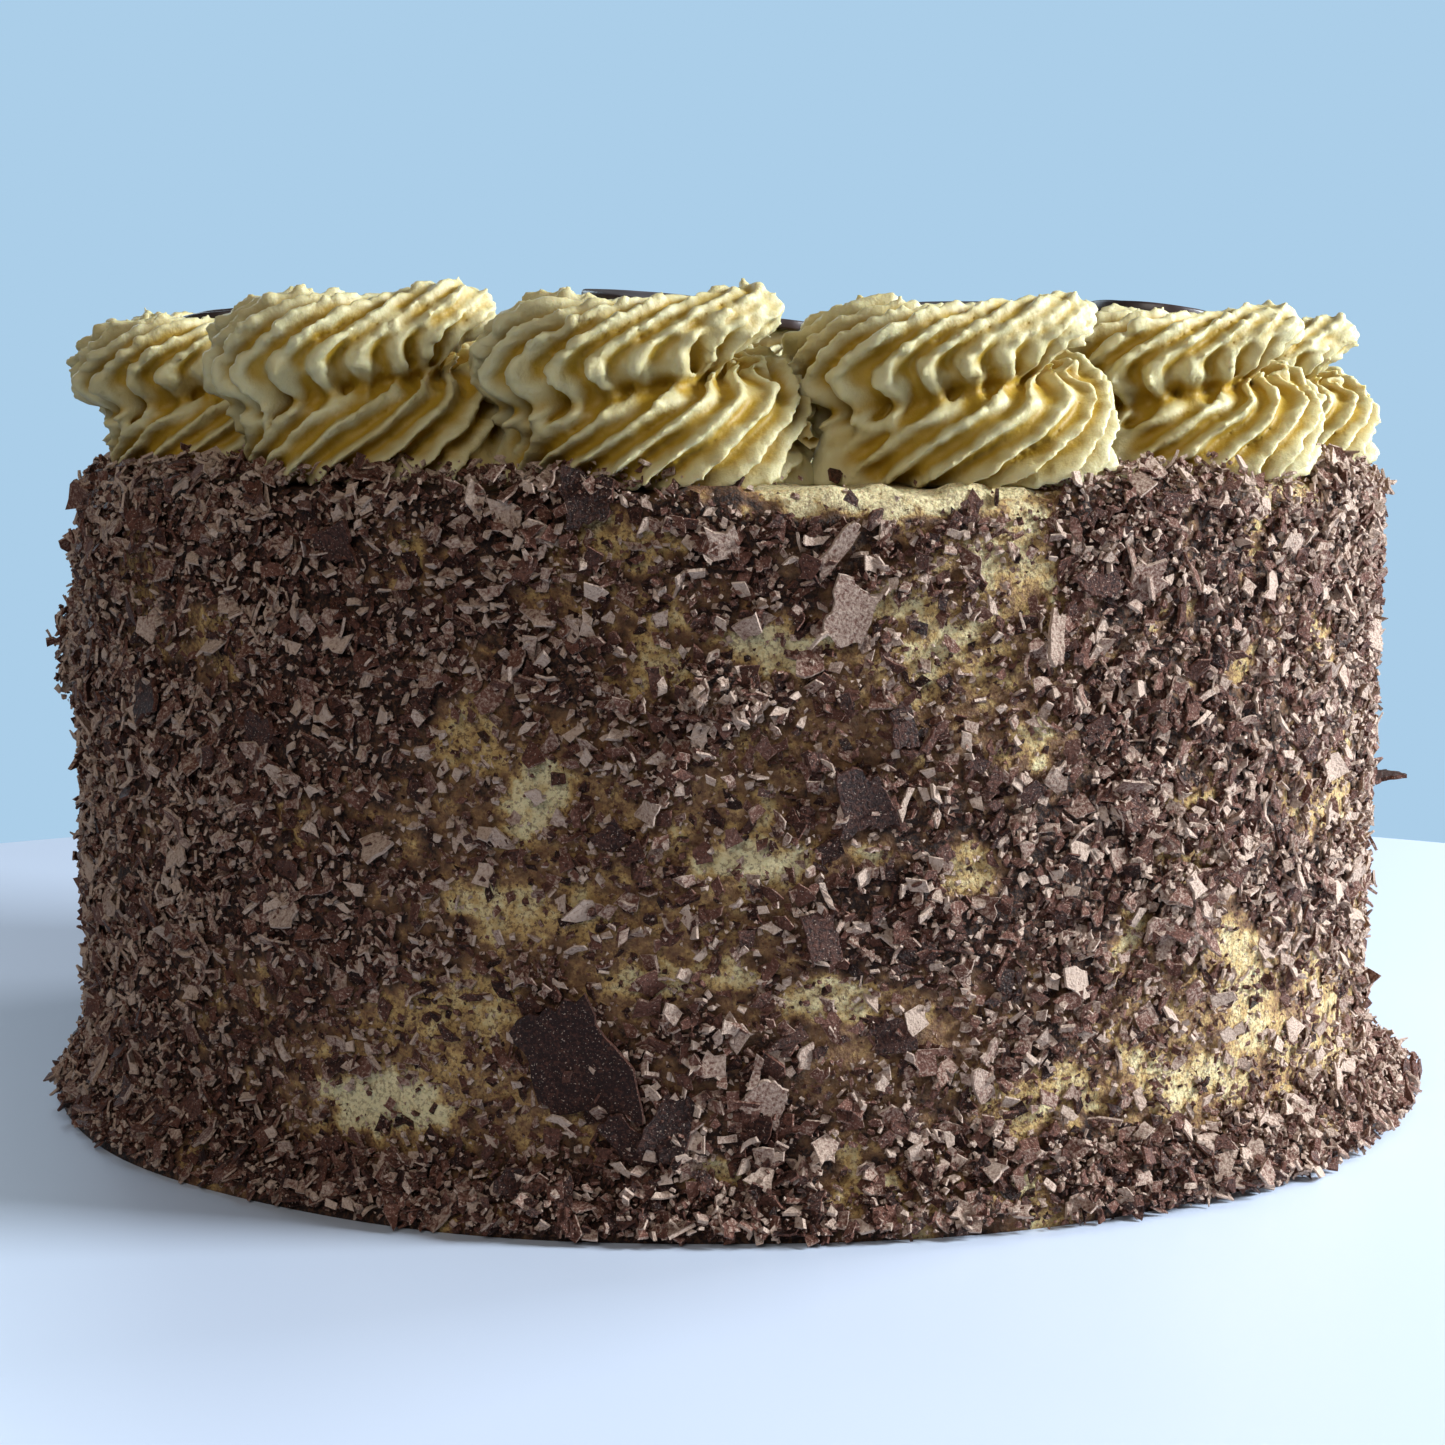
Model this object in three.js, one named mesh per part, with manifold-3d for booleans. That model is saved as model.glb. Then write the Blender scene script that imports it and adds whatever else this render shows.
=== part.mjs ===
// A tall round layer cake: a buttercream coat with chocolate flakes pressed into its wall, a ring of
// twelve piped buttercream swirls on the top edge, and a thin chocolate disc set in each swirl.
// Millimetres, +Z up. The origin is the centre of the flat underside, and the front faces -Y.
import * as THREE from "three";
import { mergeVertices } from "three/addons/utils/BufferGeometryUtils.js";
import Module from "manifold-3d";

const wasm = await Module();
wasm.setup();

// Cake body
const WALL_RADIUS = 107.4;
const BODY_HEIGHT = 105;
const RIM_ROUNDING = 3;
const FOOT_RADIUS = 114.3; // the furthest that the bank of fallen flakes reaches
const FOOT_HEIGHT = 9;
const BODY_SIDES = 48;
const WALL_LEAN = 0.9; // the wall swells by this much towards its upper third
const WALL_WAVE = 0.7;

// Ring of swirls
const SWIRL_COUNT = 12;
const SWIRL_RING_RADIUS = 86.6;
const FIRST_SWIRL_DEG = -7; // turned from the front, anticlockwise seen from above
const REST_GAP = 0.3;

// One piped swirl, at its nominal size, before it is scaled to its own width and height
const ROPE_LOBES = 7;
const ROPE_RADIUS = 10.2;
const LOBE_DEPTH = 0.23; // valley depth as a share of the rope's radius
const COIL_RADIUS = 12.2;
const TIER_SHIFT = 2.2; // the lower turn bulges to the right and the upper one hangs over to the left
const LOWER_TURN_Z = 7.2;
const UPPER_TURN_Z = 17.6;
const START_RADIUS_SHARE = 0.82; // the rope starts thinner than it runs, and nearer the middle
const START_COIL_SHARE = 0.86;
const UPPER_TURN_SHARE = 1.04; // the upper turn is piped a little thicker
const TAPER_HUG = 0.86; // where the rope thins, this share of the lost radius goes into height
const TAIL_REACH = 3.4; // the end is pulled outwards and upwards
const TAIL_RISE = 2.2;
const TAIL_RADIUS_SHARE = 0.5; // how thin the rope is drawn out at its end
const COIL_START_DEG = 110;
const COIL_END_DEG = 702;
const CLIMB_FROM_DEG = 225;
const CLIMB_TO_DEG = 600;
const TWIST_PER_MM = 0.075;
const COIL_SPLIT = 0.5; // the coil is joined from two lengths, so that neither meets itself
const STEPS_PER_LENGTH = 7;
const CORE_SIDES = 6;
const CORE_RISE = 6; // how far the core reaches above the middle of the upper turn

// Each swirl's width, height and its turn about its own axis, starting at the front and going anticlockwise
const SWIRL_SIZES = [
  { width: 46.1, height: 29.0, turn: 5 },
  { width: 46.0, height: 27.6, turn: -20 },
  { width: 48.0, height: 26.8, turn: -50 },
  { width: 47.2, height: 25.6, turn: -84 },
  { width: 46.4, height: 26.8, turn: 62 },
  { width: 47.6, height: 28.2, turn: 40 },
  { width: 46.2, height: 27.0, turn: 12 },
  { width: 45.7, height: 27.6, turn: -28 },
  { width: 46.8, height: 26.4, turn: -50 },
  { width: 47.4, height: 27.0, turn: -78 },
  { width: 46.4, height: 26.4, turn: 66 },
  { width: 48.0, height: 30.0, turn: 38 },
];

// Chocolate disc pressed into the top of each swirl
const DISC_RADIUS = 10.6;
const DISC_THICKNESS = 1.8;
const DISC_SIDES = 12;
const DISC_INSET = 3.2; // from the swirl's axis towards the cake's middle
const DISC_GAP = 0.3;
const SEAT_DEPTH = 14; // the cut above the disc runs out through the top of the cream

// How far each disc's centre lies below the swirl's top, and its lean backwards and down to the right
const DISC_RESTS = [
  { sink: 3.3, back: 3, right: 6 },
  { sink: 3.2, back: 4, right: -3 },
  { sink: 2.4, back: 4, right: 7 },
  { sink: 2.4, back: 3, right: 2 },
  { sink: 2.8, back: 3, right: -6 },
  { sink: 2.2, back: 5, right: 3 },
  { sink: 2.6, back: 4, right: -5 },
  { sink: 2.2, back: 6, right: 5 },
  { sink: 2.8, back: 4, right: 4 },
  { sink: 2.4, back: 5, right: -5 },
  { sink: 2.2, back: 4, right: -3 },
  { sink: 4.4, back: 3, right: -2 },
];

// Chocolate flakes that show from a step away
const FLAKE_COLUMNS = 14;
const FLAKE_ROWS = 6;
const FLAKE_THICKNESS = 1.3;
const FLAKE_STAND = 0.7; // a flake's middle lies this far out from the wall
const FLAKE_TIP_DEG = 36;
const FLAKE_SMALL = 4.5;
const FLAKE_LARGE = 11;
const FLAKES_START = FOOT_HEIGHT + 7;
const FLAKES_END = BODY_HEIGHT - 6.5;
const FLAKE_SCATTER = 4; // how far a flake strays up or down from its row
const FOOT_FLAKES = 16;
const FOOT_FLAKE_STAND = 2.4;
const FLAKE_SEED = 20;

const radians = THREE.MathUtils.degToRad;
const lerp = THREE.MathUtils.lerp;
const smoothstep = THREE.MathUtils.smoothstep;

// A repeatable source of numbers from 0 to 1.
function seededRandom(seed) {
  let state = seed;
  return () => {
    state = (state + 0x6d2b79f5) | 0;
    let t = Math.imul(state ^ (state >>> 15), 1 | state);
    t = (t + Math.imul(t ^ (t >>> 7), 61 | t)) ^ t;
    return ((t ^ (t >>> 14)) >>> 0) / 4294967296;
  };
}

function solidFrom(geometry) {
  const bare = geometry.clone();
  for (const name of Object.keys(bare.attributes)) {
    if (name !== "position") bare.deleteAttribute(name);
  }
  const merged = mergeVertices(bare, 1e-4);
  return new wasm.Manifold(
    new wasm.Mesh({
      numProp: 3,
      vertProperties: new Float32Array(merged.attributes.position.array),
      triVerts: new Uint32Array(merged.index.array),
    }),
  );
}

function geometryFrom(solid) {
  const mesh = solid.getMesh();
  const geometry = new THREE.BufferGeometry();
  geometry.setAttribute("position", new THREE.BufferAttribute(mesh.vertProperties, 3));
  geometry.setIndex(new THREE.BufferAttribute(mesh.triVerts, 1));
  geometry.computeVertexNormals();
  return geometry;
}

// The largest body of a joined solid: hollows that joining sealed and loose scraps are left behind.
function mainBody(solid) {
  const bodies = solid.decompose();
  return bodies.reduce((best, body) => (body.volume() > best.volume() ? body : best));
}

// How far the wall stands out from its nominal radius at an angle and a height.
function wallSwell(angle, z) {
  const rise = z / BODY_HEIGHT;
  const lean = WALL_LEAN * (1.9 * rise * rise * (1.5 - rise) - 0.25);
  const wave = Math.sin(3 * angle + 0.6 + 1.2 * rise) + 0.7 * Math.sin(5 * angle - 1.1 - 2.1 * rise);
  return lean + 0.5 * WALL_WAVE * wave * smoothstep(z, 0, FOOT_HEIGHT * 2);
}

// How much of its full reach the bank of fallen flakes has at an angle: more at the sides than in front.
function footShare(angle) {
  return 0.8 + 0.12 * Math.cos(2 * angle) + 0.05 * Math.sin(6 * angle + 1) + 0.05 * Math.cos(10 * angle);
}

// The body is turned as a profile, and its wall and foot are then made uneven.
function bodyGeometry() {
  const top = BODY_HEIGHT;
  const profile = [
    [0, 0],
    [FOOT_RADIUS, 0],
    [FOOT_RADIUS - 1.4, 2.8],
    [WALL_RADIUS + 0.6, FOOT_HEIGHT],
    [WALL_RADIUS, top * 0.35],
    [WALL_RADIUS, top * 0.68],
    [WALL_RADIUS, top - RIM_ROUNDING],
    [WALL_RADIUS - RIM_ROUNDING * 0.4, top - RIM_ROUNDING * 0.25],
    [WALL_RADIUS - RIM_ROUNDING * 1.3, top],
    [0, top],
  ].map(([r, z]) => new THREE.Vector2(r, z));
  const lathe = new THREE.LatheGeometry(profile, BODY_SIDES);
  lathe.rotateX(Math.PI / 2);
  const position = lathe.attributes.position;
  for (let i = 0; i < position.count; i++) {
    const [x, y, z] = [position.getX(i), position.getY(i), position.getZ(i)];
    const radius = Math.hypot(x, y);
    if (radius < WALL_RADIUS * 0.5) continue;
    const angle = Math.atan2(y, x);
    const foot = Math.max(0, radius - WALL_RADIUS) * (footShare(angle) - 1);
    const scale = (radius + foot + wallSwell(angle, z)) / radius;
    position.setXY(i, x * scale, y * scale);
  }
  return lathe;
}

// A flat chip of chocolate with an uneven outline, in its own XY plane.
function flakeGeometry(size, random) {
  const corners = 4 + Math.floor(random() * 2);
  const stretch = lerp(0.5, 0.95, random());
  const outline = [];
  for (let i = 0; i < corners; i++) {
    const angle = ((i + 0.6 * (random() - 0.5)) / corners) * 2 * Math.PI;
    const reach = (size / 2) * lerp(0.75, 1.1, random());
    outline.push(new THREE.Vector2(reach * Math.cos(angle), reach * stretch * Math.sin(angle)));
  }
  const chip = new THREE.ExtrudeGeometry(new THREE.Shape(outline), {
    depth: FLAKE_THICKNESS,
    bevelEnabled: false,
  });
  return chip.translate(0, 0, -FLAKE_THICKNESS / 2);
}

// Sets a chip against the wall: its face looks outwards, tipped by chance, and part of it is sunk.
function placedFlake(size, angle, z, stand, random) {
  const chip = flakeGeometry(size, random);
  const tip = radians(lerp(-FLAKE_TIP_DEG, FLAKE_TIP_DEG, random()));
  const yaw = radians(lerp(-FLAKE_TIP_DEG, FLAKE_TIP_DEG, random()));
  const turn = new THREE.Matrix4()
    .makeRotationZ(angle)
    .multiply(new THREE.Matrix4().makeRotationY(Math.PI / 2 + tip))
    .multiply(new THREE.Matrix4().makeRotationX(yaw))
    .multiply(new THREE.Matrix4().makeRotationZ(random() * 2 * Math.PI));
  const out = WALL_RADIUS + wallSwell(angle, z) + stand;
  turn.setPosition(out * Math.cos(angle), out * Math.sin(angle), z);
  return chip.applyMatrix4(turn);
}

// Flakes spread over the wall in staggered rows, and a looser row of them lying on the foot.
function flakeSolids() {
  const random = seededRandom(FLAKE_SEED);
  const flakes = [];
  for (let row = 0; row < FLAKE_ROWS; row++) {
    for (let column = 0; column < FLAKE_COLUMNS; column++) {
      const across = column + (row % 2) / 2 + 0.7 * (random() - 0.5);
      const angle = (across / FLAKE_COLUMNS) * 2 * Math.PI;
      const stray = lerp(-FLAKE_SCATTER, FLAKE_SCATTER, random());
      const z = lerp(FLAKES_START, FLAKES_END, row / (FLAKE_ROWS - 1)) + stray;
      const size = lerp(FLAKE_SMALL, FLAKE_LARGE, random() ** 2);
      flakes.push(placedFlake(size, angle, z, FLAKE_STAND, random));
    }
  }
  for (let i = 0; i < FOOT_FLAKES; i++) {
    const angle = ((i + 0.5 * random()) / FOOT_FLAKES) * 2 * Math.PI;
    const size = lerp(3.5, 6, random());
    const z = lerp(5.6, 7.2, random());
    flakes.push(placedFlake(size, angle, z, FOOT_FLAKE_STAND, random));
  }
  return flakes.map(solidFrom);
}

function cakeMesh() {
  const joined = wasm.Manifold.union([solidFrom(bodyGeometry()), ...flakeSolids()]);
  const onFloor = joined.trimByPlane([0, 0, 1], 0);
  const coat = new THREE.MeshStandardMaterial({ color: 0x4b352c, roughness: 0.8, metalness: 0 });
  const mesh = new THREE.Mesh(geometryFrom(mainBody(onFloor)), coat);
  mesh.name = "cake";
  return mesh;
}

// Centre line of the piped rope at share t of its length: its angle, coil radius, height and own radius.
function ropeAt(t) {
  const degrees = lerp(COIL_START_DEG, COIL_END_DEG, t);
  const climb = smoothstep(degrees, CLIMB_FROM_DEG, CLIMB_TO_DEG);
  const start = smoothstep(t, -0.05, 0.12);
  const taper = smoothstep(t, 0.72, 1.06);
  const tail = smoothstep(t, 0.89, 1);
  const full = ROPE_RADIUS * lerp(START_RADIUS_SHARE, 1, start) * lerp(1, UPPER_TURN_SHARE, climb);
  const radius = full * lerp(1, TAIL_RADIUS_SHARE, taper);
  return {
    angle: radians(degrees),
    shift: TIER_SHIFT * (1 - 2 * climb),
    coil: COIL_RADIUS * lerp(START_COIL_SHARE, 1, start) + TAIL_REACH * tail,
    z: lerp(LOWER_TURN_Z, UPPER_TURN_Z, climb) + TAPER_HUG * (full - radius) + TAIL_RISE * tail,
    radius,
  };
}

// Star-shaped section of the rope: sharp crests with hollow valleys between them.
function ropeSection() {
  const points = [];
  for (let i = 0; i < ROPE_LOBES * 2; i++) {
    const angle = (i / (ROPE_LOBES * 2)) * 2 * Math.PI;
    const reach = i % 2 ? 1 - LOBE_DEPTH : 1;
    points.push(new THREE.Vector2(reach * Math.cos(angle), reach * Math.sin(angle)));
  }
  return new THREE.Shape(points);
}

// A length of the rope from share t0 to t1: the section is extruded straight, then bent along the coil.
function ropeGeometry(t0, t1) {
  const straight = new THREE.ExtrudeGeometry(ropeSection(), {
    depth: 1,
    steps: STEPS_PER_LENGTH,
    bevelEnabled: false,
  });
  const ropeLength = radians(COIL_END_DEG - COIL_START_DEG) * COIL_RADIUS;
  const position = straight.attributes.position;
  for (let i = 0; i < position.count; i++) {
    const t = lerp(t1, t0, position.getZ(i));
    const at = ropeAt(t);
    const turned = Math.atan2(position.getY(i), position.getX(i)) + TWIST_PER_MM * ropeLength * t;
    const reach = at.radius * Math.hypot(position.getX(i), position.getY(i));
    const out = at.coil + reach * Math.cos(turned);
    const z = Math.max(0, at.z + reach * Math.sin(turned));
    position.setXYZ(i, at.shift + out * Math.cos(at.angle), out * Math.sin(at.angle), z);
  }
  return straight;
}

// Fills the middle of the coil, so that no hollow is left between its turns.
function swirlCore() {
  const profile = [
    [0, 0],
    [COIL_RADIUS * 0.9, 0],
    [COIL_RADIUS * 0.9, LOWER_TURN_Z],
    [COIL_RADIUS * 0.6, UPPER_TURN_Z],
    [COIL_RADIUS * 0.35, UPPER_TURN_Z + CORE_RISE],
    [0, UPPER_TURN_Z + CORE_RISE],
  ].map(([r, z]) => new THREE.Vector2(r, z));
  return new THREE.LatheGeometry(profile, CORE_SIDES).rotateX(Math.PI / 2);
}

function nominalSwirl() {
  const lengths = [
    ropeGeometry(0, COIL_SPLIT),
    ropeGeometry(COIL_SPLIT, 1),
    swirlCore(),
  ].map((geometry) => {
    const solid = solidFrom(geometry);
    if (solid.volume() < 0) throw new Error("a rope length is inside out");
    return solid;
  });
  return wasm.Manifold.union(lengths);
}

// Where a swirl stands: on the ring, facing outwards.
function swirlPlace(index) {
  const ringAngle = radians(FIRST_SWIRL_DEG + (360 / SWIRL_COUNT) * index);
  const group = new THREE.Group();
  group.position.set(
    SWIRL_RING_RADIUS * Math.sin(ringAngle),
    -SWIRL_RING_RADIUS * Math.cos(ringAngle),
    BODY_HEIGHT + REST_GAP,
  );
  group.rotation.z = ringAngle;
  return group;
}

// The disc's own frame inside its swirl: just under the top, leaning a little two ways.
function discPlace(index) {
  const { sink, back, right } = DISC_RESTS[index];
  const lean = new THREE.Euler(radians(back), radians(right), 0);
  const centre = new THREE.Vector3(0, DISC_INSET, SWIRL_SIZES[index].height - sink);
  return new THREE.Matrix4().makeRotationFromEuler(lean).setPosition(centre);
}

function discGeometry(radius, thickness) {
  return new THREE.CylinderGeometry(radius, radius, thickness, DISC_SIDES).rotateX(Math.PI / 2);
}

// The seat that the disc presses into the cream, open upwards.
function discSeat(index) {
  const seat = discGeometry(DISC_RADIUS + DISC_GAP, SEAT_DEPTH);
  seat.translate(0, 0, SEAT_DEPTH / 2 - DISC_THICKNESS / 2 - DISC_GAP);
  return seat.applyMatrix4(discPlace(index));
}

function swirlMesh(index, nominal, cream) {
  const { width, height, turn } = SWIRL_SIZES[index];
  const { min, max } = nominal.boundingBox();
  const across = width / (max[0] - min[0]);
  const scaled = nominal.scale([across, across, height / max[2]]).rotate([0, 0, turn]);
  const seated = scaled.subtract(solidFrom(discSeat(index)));
  const mesh = new THREE.Mesh(geometryFrom(mainBody(seated)), cream);
  mesh.name = "swirl_" + String(index + 1).padStart(2, "0");
  return mesh;
}

function discMesh(index, chocolate) {
  const mesh = new THREE.Mesh(discGeometry(DISC_RADIUS, DISC_THICKNESS), chocolate);
  mesh.applyMatrix4(discPlace(index));
  mesh.name = "disc_" + String(index + 1).padStart(2, "0");
  return mesh;
}

const cake = new THREE.Group();
const cream = new THREE.MeshStandardMaterial({ color: 0xc9b178, roughness: 0.55, metalness: 0 });
const chocolate = new THREE.MeshStandardMaterial({ color: 0x2b1a14, roughness: 0.4, metalness: 0 });
const nominal = nominalSwirl();
cake.add(cakeMesh());
for (let index = 0; index < SWIRL_COUNT; index++) {
  const group = swirlPlace(index);
  group.add(swirlMesh(index, nominal, cream), discMesh(index, chocolate));
  cake.add(group);
}

export default cake;
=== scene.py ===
"""The fine surface of a tall round cake: its cream coat, the chocolate flakes on its wall and round its foot,
the piped swirls on its top edge, and the chocolate disc in each of them."""

import itertools
import math
from typing import NamedTuple

import bmesh
import bpy
import numpy as np
from bpy.props import FloatProperty, FloatVectorProperty, IntProperty, PointerProperty
from bpy.types import Operator, Panel, PropertyGroup
from mathutils import Matrix, Vector


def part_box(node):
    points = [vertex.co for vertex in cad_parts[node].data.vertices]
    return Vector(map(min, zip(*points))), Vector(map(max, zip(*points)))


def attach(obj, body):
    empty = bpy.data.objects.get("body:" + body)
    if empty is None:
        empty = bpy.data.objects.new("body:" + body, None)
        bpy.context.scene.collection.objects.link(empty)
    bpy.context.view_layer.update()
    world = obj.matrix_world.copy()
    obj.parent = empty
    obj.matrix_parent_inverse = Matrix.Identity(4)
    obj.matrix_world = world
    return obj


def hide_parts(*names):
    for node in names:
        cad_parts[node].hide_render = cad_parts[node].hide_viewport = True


bl_info = {
    "name": "Flaked Cake with Piped Swirls",
    "version": (1, 0, 0),
    "blender": (4, 5, 0),
    "location": "3D View > Sidebar > Cake",
    "description": "Builds a cake's cream coat, chocolate flakes, piped swirls and discs over its solids",
    "category": "Object",
}

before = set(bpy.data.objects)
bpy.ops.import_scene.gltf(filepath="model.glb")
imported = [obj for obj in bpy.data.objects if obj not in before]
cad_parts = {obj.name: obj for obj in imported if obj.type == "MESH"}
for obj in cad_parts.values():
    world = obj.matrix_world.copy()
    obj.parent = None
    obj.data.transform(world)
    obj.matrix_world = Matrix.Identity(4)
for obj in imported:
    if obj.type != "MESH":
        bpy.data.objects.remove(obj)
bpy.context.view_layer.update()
MM = 0.001

# Value noise: how many values it draws, where it starts, and what spreads its cells over them
NOISE_VALUES = 4096
NOISE_OFFSET = 61.7
NOISE_PRIMES = (73856093, 19349663, 83492791)

# The cake's outline, in millimetres, as its solid has it
BODY_HEIGHT = 1000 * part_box("cake")[1].z
WALL_RADIUS = 107.4
RIM_ROUNDING = 3.5
FOOT_RADIUS = 114.3
FOOT_HEIGHT = 9.0
WALL_LEAN = 0.9
WALL_WAVE = 0.7
LEFT_RIM_TUCK = 2.0  # how far the rim is drawn in on the left
LEFT_TUCK_HEIGHT = 84.0  # the height at which that begins
TOP_BAND = 22.0  # how far in from the rim stray flakes lie on the top
TOP_PLAINNESS = -0.6  # below 0, a cover leaves the cream without specks

# Corners of the walk up the flaked surface, counted from the foot's edge
FOOT_TOP, RIM_BELOW, RIM_TURN, TOP_EDGE = 2, 4, 5, 6

# How flakes differ from their base: shares of a flake's size, and of the range from dark to light
FLAKE_TAPER = 0.42
FLAKE_SLANT = 0.3
OUTLINE_WAVES = ((2, 0.10), (3, 0.09), (5, 0.06))
CORNER_JITTER = 0.48
SIDE_FACE_TONE = 0.22
TONE_SPREAD = 0.06
LEAST_FLAKE_HEIGHT = 0.15  # in millimetres above the floor
PLACES_TRIED = 4  # for each flake
PLATE_CELLS = (9, 8)
PLATE_THICKNESS = 0.7

# The ring of swirls
SWIRL_COUNT = 12
SWIRL_RING_RADIUS = 86.6
FIRST_SWIRL_DEG = -7.0
SWIRL_SINK = 0.5
SWIRL_GAP = 0.3  # between a swirl's own frame and the top
DISC_SETBACK = 3.2  # how far a disc's middle lies behind its swirl's

# One swirl: a star-shaped rope on a climbing coil
COIL_START_DEG = 110.0
COIL_END_DEG = 702.0
CLIMB_FROM_DEG = 225.0
CLIMB_TO_DEG = 600.0
LOWER_TURN_Z = 6.9
UPPER_TURN_Z = 17.4
TAIL_RISE = 2.2
TAIL_SPREAD = 5.4
TIER_SHIFT = 2.4
ROPE_SIDES_PER_LOBE = 16
ROPE_STEPS = 230
SOFTENING_PASSES = 4
CREASE_DEPTH = 3.5
CREASE_WIDTH = 1.7
UNDERSIDE_DRAG_DEG = 30.0  # how far the upper turn's ridges are dragged back under it

# The cones that fill a swirl's middle and its base: lower and upper radius, then the height
CORE_CONE = (11.0, 9.8, 27.2)
BASE_CONE = (23.0, 20.5, 8.0)
BASE_FLATTENING = 0.42


class SwirlSize(NamedTuple):
    """One swirl: its width and height in millimetres, its turn in degrees, and how its disc rests."""

    width: float
    height: float
    turn: float
    disc_sink: float
    disc_back: float
    disc_right: float


SWIRLS = (
    SwirlSize(51.4, 29.0, 5, 3.3, 3, 6),
    SwirlSize(51.0, 27.6, -20, 3.2, 4, -3),
    SwirlSize(50.4, 26.8, -50, 2.4, 4, 7),
    SwirlSize(50.0, 25.6, -84, 2.4, 3, 2),
    SwirlSize(48.8, 26.8, 62, 2.8, 3, -6),
    SwirlSize(49.4, 28.2, 40, 2.2, 5, 3),
    SwirlSize(49.8, 27.0, 12, 2.6, 4, -5),
    SwirlSize(49.6, 27.6, -28, 2.2, 6, 5),
    SwirlSize(49.0, 26.4, -50, 2.8, 4, 4),
    SwirlSize(48.6, 27.0, -78, 2.4, 5, -5),
    SwirlSize(48.8, 26.4, 66, 2.2, 4, -3),
    SwirlSize(49.8, 30.0, 38, 4.4, 3, -2),
)


class Patch(NamedTuple):
    """A place on the wall: degrees round from the front, height, half width, half height and strength."""

    around: float
    height: float
    half_width: float
    half_height: float
    strength: float


# Where the flakes are thin and the cream shows
BARE_PATCHES = (
    Patch(11, 104.5, 23, 3.2, 1.0),
    Patch(-9, 101, 5, 2.5, 0.75),
    Patch(-12, 90, 6, 6, 0.5),
    Patch(4, 83, 9, 3.0, 0.9),
    Patch(12, 89, 6, 4, 0.75),
    Patch(-14, 62, 4.5, 6, 0.9),
    Patch(-15, 45, 12, 4, 0.75),
    Patch(3, 53, 12, 3.2, 0.9),
    Patch(-4, 37, 12, 2.6, 0.8),
    Patch(9, 34, 8, 3.5, 0.8),
    Patch(-8, 98, 9, 2.6, 0.7),
    Patch(19, 52, 4.5, 4, 0.75),
    Patch(-27, 17, 12, 4.2, 1.0),
    Patch(0, 9, 5, 2, 0.8),
    Patch(33, 30, 9, 5, 0.5),
    Patch(26, 17, 11, 4.5, 0.75),
    Patch(48, 15, 8, 4, 0.4),
    Patch(64, 17, 9, 7, 0.75),
    Patch(-8, 50, 28, 22, 0.45),
    Patch(-25, 20, 24, 11, 0.5),
    Patch(15, 80, 24, 15, 0.42),
    Patch(14, 27, 18, 9, 0.4),
    Patch(44, 24, 22, 14, 0.5),
)

# Where flakes stand out in a clump: strength is how far, in millimetres
CLUMPS = (
    Patch(-2, 76, 9, 4, 3.6),
    Patch(-5, 68, 8, 5, 2.8),
    Patch(39, 47, 8, 9, 4.2),
    Patch(33, 60, 5, 6, 2.4),
    Patch(-90, 73, 15, 7, 5.4),
    Patch(-11, 96, 9, 4, 2.0),
    Patch(30, 100, 11, 5, 2.2),
)


class Plate(NamedTuple):
    """A large flake given one by one: its place, size in millimetres, spin and tip in degrees, and tone."""

    around: float
    height: float
    width: float
    length: float
    spin: float
    tip: float
    tone: float


PLATES = (
    Plate(-11, 25, 12.5, 17.0, 18, 6, 0.02),
    Plate(-4, 16, 5.5, 9.5, -24, -8, 0.04),
    Plate(-7, 14, 4.5, 8.5, 42, 10, 0.06),
    Plate(10, 62, 7.0, 8.5, 12, 12, 0.10),
    Plate(13, 72, 3.6, 6.0, 4, -14, 0.12),
    Plate(9, 88, 6.5, 7.5, -24, 10, 0.78),
    Plate(29, 92, 5.5, 6.0, 36, -10, 0.16),
    Plate(-10, 105, 6.5, 7.5, 8, 8, 0.08),
    Plate(7, 43, 4.5, 6.5, 14, -18, 0.20),
    Plate(3, 20, 5.0, 5.5, -30, 14, 0.74),
    Plate(-53, 72, 5.5, 6.0, 20, -12, 0.10),
    Plate(-38, 69, 4.5, 6.5, -16, 14, 0.12),
    Plate(32, 59, 4.5, 7.0, 20, -20, 0.22),
    Plate(8, 97, 2.4, 8.0, -34, 16, 0.80),
    Plate(25, 84, 2.2, 7.5, -12, -20, 0.84),
    Plate(-30, 97, 6.0, 5.0, 10, 20, 0.14),
    Plate(88, 52, 4.5, 9.0, 88, 78, 0.10),
)


class FlakeKind(NamedTuple):
    """One kind of flake, with its sizes in millimetres.

    The cells divide it along and across, and slender is its width for a length of 1. It tips out of the
    surface mostly by less than tip_deg and lies up to lift above it. On bare cream lies on_bare of the usual
    number, and the tones run from 0 for the darkest to 1 for the lightest.
    """

    name: str
    count: int
    small: float
    large: float
    thick: float
    cells: tuple
    slender: float
    bend: float
    tip_deg: float
    lift: float
    on_bare: float
    tones: tuple


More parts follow.
